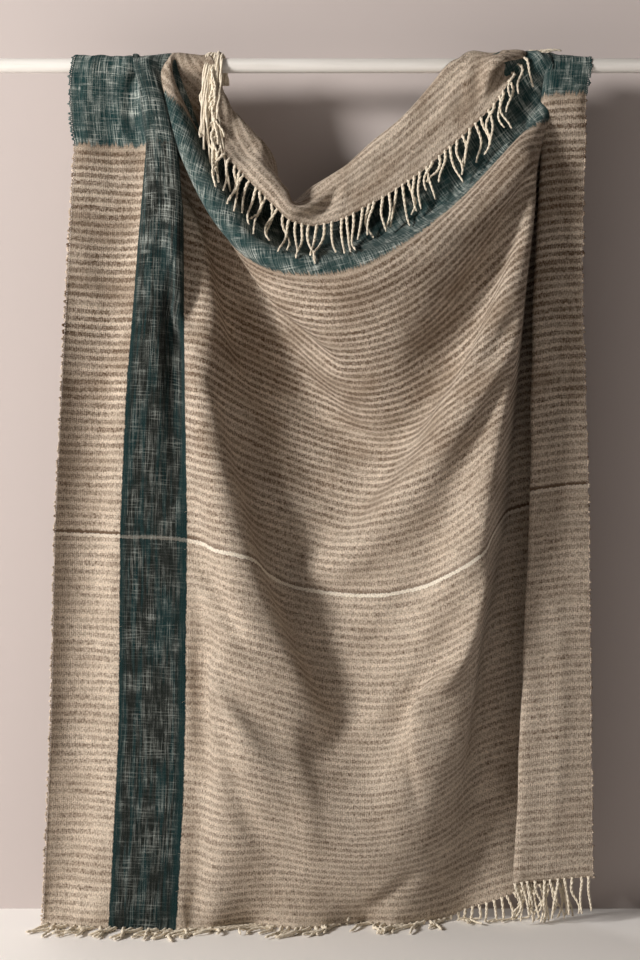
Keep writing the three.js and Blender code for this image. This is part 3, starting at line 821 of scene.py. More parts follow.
@dataclass(frozen=True)
class Grain:
    """Noise on the flat cloth, with grains of some millimetres across and down it.

    The layer parts it from other noise. As patches it rises from nothing at low to full at high, and as a
    sway it moves a value by up to half of reach either way.
    """

    across: float
    down: float
    layer: float
    detail: float = 2.0
    low: float = 0.0
    high: float = 1.0
    reach: float = 0.0


class Graph:
    """Short calls for the nodes that the finishes use."""

    def __init__(self, tree: bpy.types.NodeTree) -> None:
        """Works on one tree."""
        self.tree = tree

    def feed(self, node: bpy.types.Node, inputs: dict[Any, Value]) -> None:
        """Links or sets some of a node's inputs.

        Args:
            node: The node.
            inputs: Values or sockets, by the input's name or number.
        """
        for name, value in inputs.items():
            if isinstance(value, bpy.types.NodeSocket):
                self.tree.links.new(value, node.inputs[name])
            else:
                node.inputs[name].default_value = value

    def node(self, kind: str, inputs: dict[Any, Value] | None = None, **settings: Any) -> bpy.types.Node:
        """A node with its inputs linked or set.

        Args:
            kind: Blender's name for the node.
            inputs: Values or sockets, by the input's name or number.
            settings: The node's own properties.

        Returns:
            The node.
        """
        made = self.tree.nodes.new(kind)
        for name, value in settings.items():
            setattr(made, name, value)
        self.feed(made, inputs or {})
        return made

    def math(self, operation: str, a: Value, b: Value = 0.0, clamp: bool = False) -> Socket:
        """One sum."""
        return self.node("ShaderNodeMath", {0: a, 1: b}, operation=operation, use_clamp=clamp).outputs[0]

    def times(self, a: Value, b: Value) -> Socket:
        """a * b."""
        return self.math("MULTIPLY", a, b)

    def total(self, a: Value, b: Value, factor: float = 1.0) -> Socket:
        """a + b * factor."""
        return self.node("ShaderNodeMath", {0: b, 1: factor, 2: a}, operation="MULTIPLY_ADD").outputs[0]

    def place(self, x: Value, y: Value, z: Value = 0.0) -> Socket:
        """A vector of three values."""
        return self.node("ShaderNodeCombineXYZ", {0: x, 1: y, 2: z}).outputs[0]

    def millimetres(self, place: Socket) -> Socket:
        """A place in metres, brought to millimetres."""
        return self.node("ShaderNodeVectorMath", {0: place, "Scale": 1 / MM}, operation="SCALE").outputs[0]

    def noise(self, vector: Socket, scale: float = 1.0, detail: float = 2.0) -> Socket:
        """Noise from 0 to 1 round a half."""
        inputs = {"Vector": vector, "Scale": scale, "Detail": detail}
        return self.node("ShaderNodeTexNoise", inputs).outputs["Fac"]

    def grain(self, u: Socket, v: Socket, grain: Grain) -> Socket:
        """The noise of a grain at a place on the cloth."""
        across, down = self.math("DIVIDE", u, grain.across), self.math("DIVIDE", v, grain.down)
        return self.noise(self.place(across, down, grain.layer), 1.0, grain.detail)

    def patches(self, u: Socket, v: Socket, grain: Grain) -> Socket:
        """A grain as soft patches from 0 to 1."""
        return self.rise(self.grain(u, v, grain), grain.low, grain.high)

    def swayed(self, value: Value, u: Socket, v: Socket, *grains: Grain) -> Socket:
        """A value that grains move both ways.

        Args:
            value: The value.
            u: The place across the cloth.
            v: The place down the cloth.
            grains: What moves it.

        Returns:
            The moved value.
        """
        for grain in grains:
            value = self.total(value, self.math("SUBTRACT", self.grain(u, v, grain), 0.5), grain.reach)
        return value

    def rise(self, value: Socket, low: float, high: float) -> Socket:
        """A soft step from 0 at low to 1 at high."""
        inputs = {"Value": value, "From Min": low, "From Max": high}
        return self.node("ShaderNodeMapRange", inputs, interpolation_type="SMOOTHSTEP").outputs[0]

    def band(self, value: Socket, low: float, high: float, soft: float) -> Socket:
        """1 between low and high, with soft edges."""
        rise = self.rise(value, low - soft, low + soft)
        return self.math("SUBTRACT", rise, self.rise(value, high - soft, high + soft), clamp=True)

    def mix(self, share: Value, a: Value, b: Value, kind: str = "MIX") -> Socket:
        """Colour a turned to colour b by a share."""
        settings = {"data_type": "RGBA", "clamp_factor": True, "blend_type": kind}
        return self.node("ShaderNodeMix", {0: share, 6: a, 7: b}, **settings).outputs[2]

    def bump(self, height: Socket, relief: float) -> Socket:
        """A normal bent by a height."""
        return self.node("ShaderNodeBump", {"Height": height, "Distance": relief}).outputs[0]


def colour(red: float, green: float, blue: float) -> tuple[float, float, float, float]:
    """A colour in linear light."""
    return (red, green, blue, 1.0)


def new_material(name: str) -> tuple[bpy.types.Material, Graph, bpy.types.Node]:
    """A new material.

    Args:
        name: Its name.

    Returns:
        The material, a graph on its tree and its shader.
    """
    material = bpy.data.materials.new(name)
    material.use_nodes = True
    return material, Graph(material.node_tree), material.node_tree.nodes["Principled BSDF"]


def shader_group(
    name: str, inputs: dict[str, str], outputs: dict[str, str]
) -> tuple[bpy.types.NodeTree, Graph, bpy.types.NodeOutputs]:
    """A new shader node group with named sockets.

    Args:
        name: The group's name.
        inputs: Each input's name and type.
        outputs: Each output's name and type.

    Returns:
        The tree, a graph on it and its inputs by name.
    """
    tree = bpy.data.node_groups.new(name, "ShaderNodeTree")
    for way, sockets in (("INPUT", inputs), ("OUTPUT", outputs)):
        for key, kind in sockets.items():
            tree.interface.new_socket(key, in_out=way, socket_type=kind)
    graph = Graph(tree)
    return tree, graph, graph.node("NodeGroupInput").outputs


@dataclass(frozen=True)
class FibreGroup:
    """Fine loose fibres on wool yarn: a tone and a height from noise at two scales."""

    coarse: float = 0.35
    coarse_detail: float = 3.0
    fine: float = 1.6
    fine_detail: float = 2.0
    tone_base: float = 0.1
    tone_rise: float = 0.9

    def build(self) -> bpy.types.NodeTree:
        """Makes the group.

        Returns:
            The group, whose input is a place in millimetres.
        """
        outputs = {"Tone": "NodeSocketFloat", "Height": "NodeSocketFloat"}
        tree, graph, given = shader_group("wool_fibre", {"Place": "NodeSocketVector"}, outputs)
        coarse = graph.noise(given["Place"], self.coarse, self.coarse_detail)
        height = graph.math("ADD", coarse, graph.noise(given["Place"], self.fine, self.fine_detail))
        tone = graph.total(self.tone_base, height, self.tone_rise)
        graph.node("NodeGroupOutput", {"Tone": tone, "Height": height})
        return tree


@dataclass(frozen=True)
class Weave:
    """The blanket's plain weave and its dyed yarns. Lengths in millimetres on the flat cloth."""

    stripe: float = 13.3
    warp_pitch: float = 3.4
    weft_pitch: float = 3.325
    middle: tuple = (250, 900, 40)

    # The picks bow down in the hanging middle: how far, where, and from where to where down the cloth
    sag: float = 105
    sag_low: float = 55
    sag_at: float = 690
    sag_width: float = 240
    sag_starts: tuple = (150, 330)
    sag_eases: tuple = (330, 900)
    sag_ends: tuple = (1600, 1150)

    # The undyed picks: how the threads wander, and how dark the brown ones are in each part
    slow_sway: Grain = Grain(160, 60, 1.0, reach=9.0)
    jitter: Grain = Grain(4, 5, 2.0, reach=6.5)
    warp_sway: Grain = Grain(5, 60, 3.0, reach=3.4)
    uneven_picks: Grain = Grain(70, 0.6, 4.0, 3.0, 0.22, 0.60)
    cast_picks: Grain = Grain(160, 0.9, 5.0, 2.0, 0.42, 0.62)
    heathered: Grain = Grain(90, 60, 22.0, 3.0, 0.35, 0.7)
    fleck: Grain = Grain(1.9, 5.5, 21.0, 3.0, reach=2.0)
    loose_hair: Grain = Grain(8, 1.5, 23.0, reach=1.1)
    slub: Grain = Grain(5, 24, 24.0, 3.0, reach=0.8)
    upper_part: tuple = (1050, 650)
    border_edge: float = 8
    dark_rise: tuple = (-1.0, 0.40)
    dark_base: float = 0.17
    dark_uneven: float = 0.30
    dark_upper: float = 0.25
    dark_border: float = -0.2
    dark_least: float = 0.05
    heather_base: float = 0.40
    heather_upper: float = 0.60

    # A change of yarn across the whole width: a brown pick and a thick cream one below it, about the line
    line_at: float = 980
    brown_pick: tuple = (-7.5, -2.5, 1.2)
    brown_pick_share: float = 0.9
    brown_pick_middle: float = -0.5
    cream_pick: tuple = (-2.0, 3.8, 0.8)
    cream_pick_share: float = 0.4
    cream_pick_middle: float = 0.6
    cream_pick_band: float = -0.6

    # Pale threads over the dyed yarns, down the cloth and across it
    threads_down: Grain = Grain(2.3, 50, 12.0, 3.0, 0.44, 0.60)
    threads_over: Grain = Grain(40, 2.6, 14.0, 3.0, 0.50, 0.66)
    thread_body: Grain = Grain(2.5, 7, 16.0)
    veil: Grain = Grain(22, 45, 15.0, 3.0, 0.38, 0.66)
    block: Grain = Grain(80, 17, 17.0, 3.0, 0.52, 0.68)
    body_base: float = 0.35
    body_swell: float = 1.1
    down_base: float = 0.07
    down_veil: float = 0.46
    down_block: float = 0.40
    over_base: float = 0.09
    over_veil: float = 0.44

    # The cross band's teal picks, and the heathered ones just below them
    cross_from: float = 148
    cross_to: float = 322
    cross_soft: float = 3.5
    after_cross: tuple = (2, 11, 2.5)
    after_share: float = 0.6
    ragged: Grain = Grain(3.5, 60, 6.0, 3.0, reach=30.0)
    teal_patches: Grain = Grain(12, 22, 7.0, 4.0, 0.36, 0.66)

    # The dyed warp of the band down the cloth, teal at its edges and in streaks
    band_from: float = 122
    band_to: float = 233
    band_soft: float = 0.9
    heart: tuple = (8, -12, 6)
    band_edge: Grain = Grain(30, 24, 9.0, reach=4.0)
    band_picks: Grain = Grain(60, 3.4, 9.5, reach=3.0)
    streaks: Grain = Grain(9, 150, 10.0, 3.0, 0.46, 0.62)
    band_top: tuple = (620, 330)
    edge_threads: float = 0.06
    heart_threads: float = 0.30
    top_threads: float = 0.45
    band_under_cross: float = -0.45

    # Fibres, and the rounding of each yarn between its crossings
    tone_base: float = 0.34
    tone_fibre: float = 0.66
    tone_crossing: float = 0.10
    worn: Grain = Grain(60, 45, 13.0, 3.0)
    worn_base: float = 0.84
    worn_rise: float = 0.32
    crossing_height: float = 0.6
    fibre_height: float = 1.2

    cream: tuple = colour(0.70, 0.59, 0.475)
    heather: tuple = colour(0.47, 0.375, 0.285)
    brown: tuple = colour(0.115, 0.067, 0.037)
    umber: tuple = colour(0.175, 0.122, 0.082)
    thick_pick: tuple = colour(0.86, 0.78, 0.66)
    hair: tuple = colour(0.58, 0.62, 0.57)
    teal: tuple = colour(0.001, 0.033, 0.035)
    pale_teal: tuple = colour(0.030, 0.066, 0.064)
    charcoal: tuple = colour(0.005, 0.008, 0.006)
    band_teal: tuple = colour(0.002, 0.022, 0.023)

    def sagged(self, g: Graph, u: Socket, v: Socket) -> Socket:
        """The place down the cloth for the picks, which bow down in the hanging middle.

        Args:
            g: The graph of the group.
            u: The place across the cloth.
            v: The place down the cloth.

        Returns:
            The place that the picks follow.
        """
        off = g.math("DIVIDE", g.math("SUBTRACT", u, self.sag_at), self.sag_width)
        bell = g.math("POWER", math.e, g.times(g.times(off, off), -1.0))
        depth = g.times(g.rise(v, *self.sag_starts), self.sag)
        depth = g.total(depth, g.rise(v, *self.sag_eases), self.sag_low - self.sag)
        depth = g.times(depth, g.rise(v, *self.sag_ends))
        return g.total(v, g.times(bell, depth), -1.0)

    def line_pick(self, g: Graph, v_yarn: Socket, pick: tuple) -> Socket:
        """A pick beside the line across the cloth, as a mask."""
        return g.band(v_yarn, self.line_at + pick[0], self.line_at + pick[1], pick[2])

    def undyed(self, g: Graph, u: Socket, v: Socket, v_yarn: Socket, middle: Socket) -> Socket:
        """Two cream picks and two brown ones by turns, uneven along their length and flecked with each other.

        Args:
            g: The graph of the group.
            u: The place across the cloth.
            v: The place down the cloth.
            v_yarn: The place that the picks follow.
            middle: How far the place is in the hanging middle.

        Returns:
            The colour.
        """
        wave = g.math("SINE", g.times(v_yarn, 2 * math.pi / self.stripe))
        row = g.math("FLOOR", g.math("DIVIDE", v_yarn, self.stripe))
        upper = g.rise(v, *self.upper_part)
        strength = g.total(self.dark_base, g.patches(u, row, self.uneven_picks), self.dark_uneven)
        strength = g.total(strength, upper, self.dark_upper)
        border = g.rise(v, self.cross_from, self.cross_from - self.border_edge)
        strength = g.total(strength, border, self.dark_border)
        dark = g.times(g.rise(wave, *self.dark_rise), strength)
        dark = g.swayed(dark, u, v, self.fleck, self.loose_hair, self.slub)
        cast = g.mix(g.patches(u, row, self.cast_picks), self.brown, self.umber)
        share = g.total(self.heather_base, upper, self.heather_upper)
        light = g.mix(g.times(share, g.patches(u, v, self.heathered)), self.cream, self.heather)
        cloth = g.mix(g.total(self.dark_least, dark, 1.0), light, cast)
        share = g.total(self.brown_pick_share, middle, self.brown_pick_middle)
        return g.mix(g.times(self.line_pick(g, v_yarn, self.brown_pick), share), cloth, self.brown)

    def pale_threads(self, g: Graph, u: Socket, v: Socket) -> Socket:
        """Pale threads over the dyed yarns, thicker in some places than in others.

        Args:
            g: The graph of the group.
            u: The place across the cloth.
            v: The place down the cloth.

        Returns:
            How far they cover the dyed yarn.
        """
        body = g.total(self.body_base, g.grain(u, v, self.thread_body), self.body_swell)
        down = g.times(g.patches(u, v, self.threads_down), body)
        veil = g.patches(u, v, self.veil)
        cover = g.total(self.down_base, veil, self.down_veil)
        cover = g.total(cover, g.patches(u, v, self.block), self.down_block)
        over = g.times(g.patches(u, v, self.threads_over), g.total(self.over_base, veil, self.over_veil))
        return g.total(g.times(down, cover), over, 1.0)

    def warp_band(self, g: Graph, u: Socket, v: Socket, threads: Socket) -> Socket:
        """The colour of the band down the cloth.

        Args:
            g: The graph of the group.
            u: The place across the cloth.
            v: The place down the cloth.
            threads: How far pale threads cover the dyed yarn.

        Returns:
            The colour.
        """
        heart = g.band(u, self.band_from + self.heart[0], self.band_to + self.heart[1], self.heart[2])
        plain = g.times(heart, g.math("SUBTRACT", 1.0, g.patches(u, v, self.streaks)))
        dyed = g.mix(g.math("SUBTRACT", 1.0, plain), self.charcoal, self.band_teal)
        share = g.times(heart, g.total(self.heart_threads, g.rise(v, *self.band_top), self.top_threads))
        return g.mix(g.times(threads, g.total(self.edge_threads, share, 1.0)), dyed, self.hair)

    def build(self, fibre: bpy.types.NodeTree) -> bpy.types.NodeTree:
        """Makes the group: the cloth's colour and its raised threads at a place on it.

        Args:
            fibre: The group of loose fibres.

        Returns:
            The group, whose input is the place on the flat cloth in metres.
        """
        outputs = {"Color": "NodeSocketColor", "Height": "NodeSocketFloat"}
        tree, g, given = shader_group("wool_weave", {"Place": "NodeSocketVector"}, outputs)
        flat = g.millimetres(given["Place"])
        parts = g.node("ShaderNodeSeparateXYZ", {0: flat}).outputs
        u, v = parts[0], parts[1]
        low = self.sagged(g, u, v)
        v_yarn = g.swayed(low, u, v, self.slow_sway, self.jitter)
        u_yarn = g.swayed(u, u, v, self.warp_sway)
        middle = g.band(u, *self.middle)
        cloth = self.undyed(g, u, v, v_yarn, middle)
        threads = self.pale_threads(g, u, v)

        # The cross band lies over the picks, and the warp's band shows through it
        ragged = g.swayed(low, u, v, self.ragged)
        start, end, soft = self.after_cross
        after = g.band(ragged, self.cross_to + start, self.cross_to + end, soft)
        cloth = g.mix(g.times(after, self.after_share), cloth, self.heather)
        cross = g.band(ragged, self.cross_from, self.cross_to, self.cross_soft)
        picks = g.mix(g.patches(u, v, self.teal_patches), self.teal, self.pale_teal)
        cloth = g.mix(cross, cloth, g.mix(threads, picks, self.hair))
        edge_place = g.swayed(u, u, v, self.band_edge, self.band_picks)
        band = g.band(edge_place, self.band_from, self.band_to, self.band_soft)
        share = g.times(band, g.total(1.0, cross, self.band_under_cross))
        cloth = g.mix(share, cloth, self.warp_band(g, u, v, threads))
        share = g.total(self.cream_pick_share, middle, self.cream_pick_middle)
        pick = g.times(self.line_pick(g, v_yarn, self.cream_pick), share)
        cloth = g.mix(g.times(pick, g.total(1.0, band, self.cream_pick_band)), cloth, self.thick_pick)

        crossing = g.times(
            g.math("SINE", g.times(u_yarn, math.pi / self.warp_pitch)),
            g.math("SINE", g.times(v_yarn, math.pi / self.weft_pitch)),
        )
        fuzz = g.node("ShaderNodeGroup", {"Place": flat}, node_tree=fibre).outputs
        tone = g.total(self.tone_base, fuzz["Tone"], self.tone_fibre)
        tone = g.total(tone, crossing, self.tone_crossing)
        tone = g.times(tone, g.total(self.worn_base, g.grain(u, v, self.worn), self.worn_rise))
        cloth = g.mix(1.0, cloth, g.place(tone, tone, tone), "MULTIPLY")
        rounding = g.times(g.math("ABSOLUTE", crossing), self.crossing_height)
        height = g.total(rounding, fuzz["Height"], self.fibre_height)
        g.node("NodeGroupOutput", {"Color": cloth, "Height": height})
        return tree


class Pattern(Enum):
    """Where a finish reads its place on the flat cloth from."""

    MAP = "map"
    ATTRIBUTE = "attribute"


@dataclass(frozen=True)
class WoolFinish:
    """Woven wool with a soft nap."""

    name: str
    pattern: Pattern
    weave: bpy.types.NodeTree
    relief: float = 0.0011
    roughness: float = 0.92
    specular: float = 0.15
    sheen: float = 0.06
    sheen_roughness: float = 0.6

    def build(self) -> bpy.types.Material:
        """Makes the material.

        Returns:
            The material.
        """
        material, graph, shader = new_material(self.name)
        if self.pattern is Pattern.MAP:
            place = graph.node("ShaderNodeUVMap", uv_map=CLOTH_MAP).outputs[0]
        else:
            place = graph.node("ShaderNodeAttribute", attribute_name=CLOTH_MAP).outputs["Vector"]
        woven = graph.node("ShaderNodeGroup", {"Place": place}, node_tree=self.weave).outputs
        graph.feed(shader, {"Base Color": woven["Color"], "Normal": graph.bump(woven["Height"], self.relief)})
        graph.feed(shader, {"Roughness": self.roughness, "Specular IOR Level": self.specular})
        graph.feed(shader, {"Sheen Weight": self.sheen, "Sheen Roughness": self.sheen_roughness})
        return material


@dataclass(frozen=True)
class YarnFinish:
    """Undyed twisted yarn."""

    name: str
    fibre: bpy.types.NodeTree
    light: tuple = colour(0.90, 0.815, 0.67)
    shade: tuple = colour(0.56, 0.46, 0.33)
    shaded_from: float = 0.55
    shaded_to: float = 1.25
    relief: float = 0.0004
    roughness: float = 0.9
    specular: float = 0.15
    sheen: float = 0.08

    def build(self) -> bpy.types.Material:
        """Makes the material.

        Returns:
            The material.
        """
        material, graph, shader = new_material(self.name)
        place = graph.millimetres(graph.node("ShaderNodeTexCoord").outputs["Object"])
        fuzz = graph.node("ShaderNodeGroup", {"Place": place}, node_tree=self.fibre).outputs
        tone = graph.rise(fuzz["Tone"], self.shaded_from, self.shaded_to)
        graph.feed(shader, {"Base Color": graph.mix(tone, self.shade, self.light)})
        graph.feed(shader, {"Normal": graph.bump(fuzz["Height"], self.relief), "Roughness": self.roughness})
        graph.feed(shader, {"Specular IOR Level": self.specular, "Sheen Weight": self.sheen})
        return material


@dataclass(frozen=True)
class PaintFinish:
    """Off-white paint on turned wood, slightly uneven."""

    name: str = "rod_paint"
    light: tuple = colour(0.80, 0.77, 0.73)
    dull: tuple = colour(0.72, 0.685, 0.64)
    grain: tuple = (6.0, 90.0, 90.0)
    detail: float = 4.0
    dull_from: float = 0.35
    dull_to: float = 0.7
    relief: float = 0.0003
    roughness: float = 0.3

    def build(self) -> bpy.types.Material:
        """Makes the material.

        Returns:
            The material.
        """
        material, graph, shader = new_material(self.name)
        place = graph.node("ShaderNodeTexCoord").outputs["Object"]
        along = graph.node("ShaderNodeMapping", {"Vector": place, "Scale": self.grain}).outputs[0]
        grain = graph.noise(along, 1.0, self.detail)
        dull = graph.rise(grain, self.dull_from, self.dull_to)
        graph.feed(shader, {"Base Color": graph.mix(dull, self.light, self.dull)})
        graph.feed(shader, {"Roughness": graph.total(self.roughness, grain, self.roughness)})
        graph.feed(shader, {"Normal": graph.bump(grain, self.relief)})
        return material


@dataclass
class Blanket:
    """The cloth itself: a thin sheet on the settled net, with its small creases."""

    cells: int = 2

    # The crumpled stretch just above the shelf: its middle and half size on the cloth, and how it is smoothed
    eased_at: tuple[float, float] = (590, 1510)
    eased_half: tuple[float, float] = (230, 165)
    eased_share: float = 0.24
    eased_rounds: int = 90

    # How the creases bow, how much of their length is at full height, and how they end at the shelf
    bow: float = 0.35
    bow_turn: float = 5
    full_half: float = 0.25
    shelf_fade: float = 40
    shelf_gap: float = 0.4

    # Soft creases, listed: from and to on the cloth, half width and height, out of the cloth or into it
    creases: ClassVar[Rows] = Rows(
        "u0 v0 u1 v1 width rise",
        (30, 165, 22, 330, 9, 3.0),
        (62, 160, 66, 420, 12, -3.0),
        (92, 158, 86, 300, 9, 3.2),
        (20, 420, 60, 760, 26, 3.5),
        (90, 700, 70, 1150, 24, -3.5),
        (430, 60, 560, 10, 12, 3.0),
        (700, 40, 860, 60, 12, 2.5),
        (880, 30, 1010, 80, 12, -2.5),
        (420, 420, 700, 520, 26, 5.0),
        (470, 520, 760, 610, 30, -5.0),
        (620, 470, 860, 430, 24, 4.0),
        (700, 640, 930, 500, 28, -5.0),
        (560, 700, 820, 760, 36, 4.5),
        (300, 520, 420, 700, 22, -4.0),
        (260, 760, 330, 960, 20, 3.5),
        (690, 1225, 696, 1405, 11, -5.0),
        (640, 1190, 655, 1450, 26, 4.0),
        (300, 1205, 412, 1500, 22, -8.0),
        (246, 1240, 292, 1600, 24, 5.0),
        (455, 1250, 505, 1540, 26, 6.0),
        (610, 1600, 700, 1545, 16, -6.0),
        (1190, 420, 1180, 900, 16, 3.0),
        (1235, 500, 1230, 1100, 16, -3.0),
        (1215, 1150, 1205, 1600, 18, 3.0),
        (960, 62, 1100, 80, 26, -5.0),
        (980, 165, 1100, 175, 26, -3.0),
    )

    @staticmethod
    def places(grid: np.ndarray) -> tuple[np.ndarray, np.ndarray]:
        """Where a grid's points lie on the flat cloth: a column across it and a row down it."""
        across, down = grid.shape[:2]
        return np.linspace(0, CLOTH_WIDTH, across)[:, None], np.linspace(0, CLOTH_LENGTH, down)[None]

    def eased(self, net: np.ndarray) -> np.ndarray:
        """The net with the crumpled stretch just above the shelf drawn smooth.

        Args:
            net: The settled net.

        Returns:
            The smoother net.
        """
        u, v = self.places(net)
        across = np.exp(-((u - self.eased_at[0]) / self.eased_half[0]) ** 4)
        down = np.exp(-((v - self.eased_at[1]) / self.eased_half[1]) ** 4)
        share = self.eased_share * across * down
        share[:, -1] = 0
        points = net.copy()
        for _ in range(self.eased_rounds):
            pull = np.zeros_like(points)
            pull[1:-1] += points[:-2] + points[2:] - 2 * points[1:-1]
            pull[:, 1:-1] += points[:, :-2] + points[:, 2:] - 2 * points[:, 1:-1]
            points += pull * share[..., None]
        return points

    def surface(self, net: np.ndarray) -> np.ndarray:
        """The fine grid of the sheet's points, creases and all.

        Args:
            net: The settled net.

        Returns:
            The points in millimetres.
        """
        net = self.eased(net)
        fine = smooth_grid(smooth_grid(net, self.cells).transpose(1, 0, 2), self.cells).transpose(1, 0, 2)
        out = self.normals(fine)
        u, v = self.places(fine)
        lift = np.zeros(fine.shape[:2])
        for u0, v0, u1, v1, width, rise in self.creases:
            run = np.array([u1 - u0, v1 - v0])
            share = ((u - u0) * run[0] + (v - v0) * run[1]) / (run @ run)
            bow = self.bow * width * np.sin(share * self.bow_turn + u0)
            off = ((u - u0) * run[1] - (v - v0) * run[0]) / np.linalg.norm(run) + bow
            end = np.maximum(np.abs(share - 0.5) - self.full_half, 0) / self.full_half
            lift += rise * np.exp(-(end**2)) * np.exp(-((off / width) ** 2))
        edge = np.minimum(1, (fine[..., 2] - SHELF_Z) / self.shelf_fade)[..., None]
        moved = fine + out * lift[..., None] * edge
        moved[..., 2] = np.maximum(moved[..., 2], SHELF_Z + self.shelf_gap)
        return moved

    @staticmethod
    def normals(grid: np.ndarray) -> np.ndarray:
        """The way out of the cloth's face at each point of a grid."""
        return unit(np.cross(np.gradient(grid, axis=1), np.gradient(grid, axis=0)))

    def build(self, grid: np.ndarray, finish: bpy.types.Material) -> bpy.types.Object:
        """Makes the sheet with its map.

        Args:
            grid: The fine grid of points.
            finish: The woven wool.

        Returns:
            The sheet.
        """
        number = np.arange(grid.shape[0] * grid.shape[1]).reshape(grid.shape[:2])
        corners = (number[:-1, :-1], number[:-1, 1:], number[1:, 1:], number[1:, :-1])
        faces = np.stack([c.ravel() for c in corners], 1)
        piece = new_piece("blanket_cloth", grid.reshape(-1, 3), faces, finish)
        flat = np.stack(np.broadcast_arrays(*self.places(grid)), -1).reshape(-1, 2)
        layer = piece.data.uv_layers.new(name=CLOTH_MAP)
        layer.data.foreach_set("uv", (flat[faces.ravel()] * MM).ravel())
        return piece


class PointsGraph(Graph):
    """Short calls for a tree of geometry nodes that sets copies of a small mesh on points."""

    def __init__(self, name: str, floats: dict[str, float]) -> None:
        """Makes the tree with its geometry sockets, its own sizes, the copied object and the finish.

        Args:
            name: The tree's name.
            floats: Each size's name and first value.
        """
        super().__init__(bpy.data.node_groups.new(name, "GeometryNodeTree"))
        face = self.tree.interface
        face.new_socket("Geometry", in_out="INPUT", socket_type="NodeSocketGeometry")
        for key, value in {**floats, "Floor": (SHELF_Z + SHELF_CLEAR) * MM}.items():
            face.new_socket(key, in_out="INPUT", socket_type="NodeSocketFloat").default_value = value
        face.new_socket("Copied", in_out="INPUT", socket_type="NodeSocketObject")
        face.new_socket("Finish", in_out="INPUT", socket_type="NodeSocketMaterial")
        face.new_socket("Geometry", in_out="OUTPUT", socket_type="NodeSocketGeometry")
        self.given = self.node("NodeGroupInput").outputs

    def random(self, kind: str, low: Any, high: Any, seed: int) -> Socket:
        """A random value for each point.

        Args:
            kind: FLOAT or FLOAT_VECTOR.
            low: The least value.
            high: The greatest value.
            seed: What parts it from other random values.

        Returns:
            The value.
        """
        low_socket, high_socket, result = {"FLOAT": (2, 3, 1), "FLOAT_VECTOR": (0, 1, 0)}[kind]
        inputs = {low_socket: low, high_socket: high, "Seed": seed}
        return self.node("FunctionNodeRandomValue", inputs, data_type=kind).outputs[result]

    def set_copies(self, points: Socket, rotation: Socket, scale: Socket) -> None:
        """Sets the copies on the points, makes them real, gives them the finish and ends the tree.

        Args:
            points: The points.
            rotation: Each copy's turn.
            scale: Each copy's size.
        """
        copied = self.node("GeometryNodeObjectInfo", {"Object": self.given["Copied"]}).outputs["Geometry"]
        inputs = {"Points": points, "Instance": copied, "Rotation": rotation, "Scale": scale}
        copies = self.node("GeometryNodeInstanceOnPoints", inputs).outputs[0]
        real = self.node("GeometryNodeRealizeInstances", {0: copies}).outputs[0]
        position = self.node("GeometryNodeInputPosition").outputs[0]
        parts = self.node("ShaderNodeSeparateXYZ", {0: position}).outputs
        lifted = self.place(parts[0], parts[1], self.math("MAXIMUM", parts[2], self.given["Floor"]))
        real = self.node("GeometryNodeSetPosition", {"Geometry": real, "Position": lifted}).outputs[0]
        inputs = {"Geometry": real, "Material": self.given["Finish"]}
        self.node("NodeGroupOutput", {0: self.node("GeometryNodeSetMaterial", inputs).outputs[0]})

    def grow(self, name: str, base: bpy.types.Mesh, values: dict[str, Any]) -> bpy.types.Object:
        """Runs the tree on a mesh and keeps the result as a plain mesh.

        Args:
            name: The new piece's name.
            base: The mesh that the copies are set on.
            values: The tree's inputs by name.

        Returns:
            The piece, with no modifier left.
        """
        carrier = placed(name + "_carrier", base)
        modifier = carrier.modifiers.new(name, "NODES")
        modifier.node_group = self.tree
        for socket in self.tree.interface.items_tree:
            if socket.in_out == "INPUT" and socket.name in values:
                modifier[socket.identifier] = values[socket.name]
        graph = bpy.context.evaluated_depsgraph_get()
        evaluated = carrier.evaluated_get(graph)
        mesh = bpy.data.meshes.new_from_object(evaluated, preserve_all_data_layers=True, depsgraph=graph)
        carrier.modifiers.remove(modifier)
        bpy.data.objects.remove(carrier)
        mesh.name = name
        return placed(name, mesh)


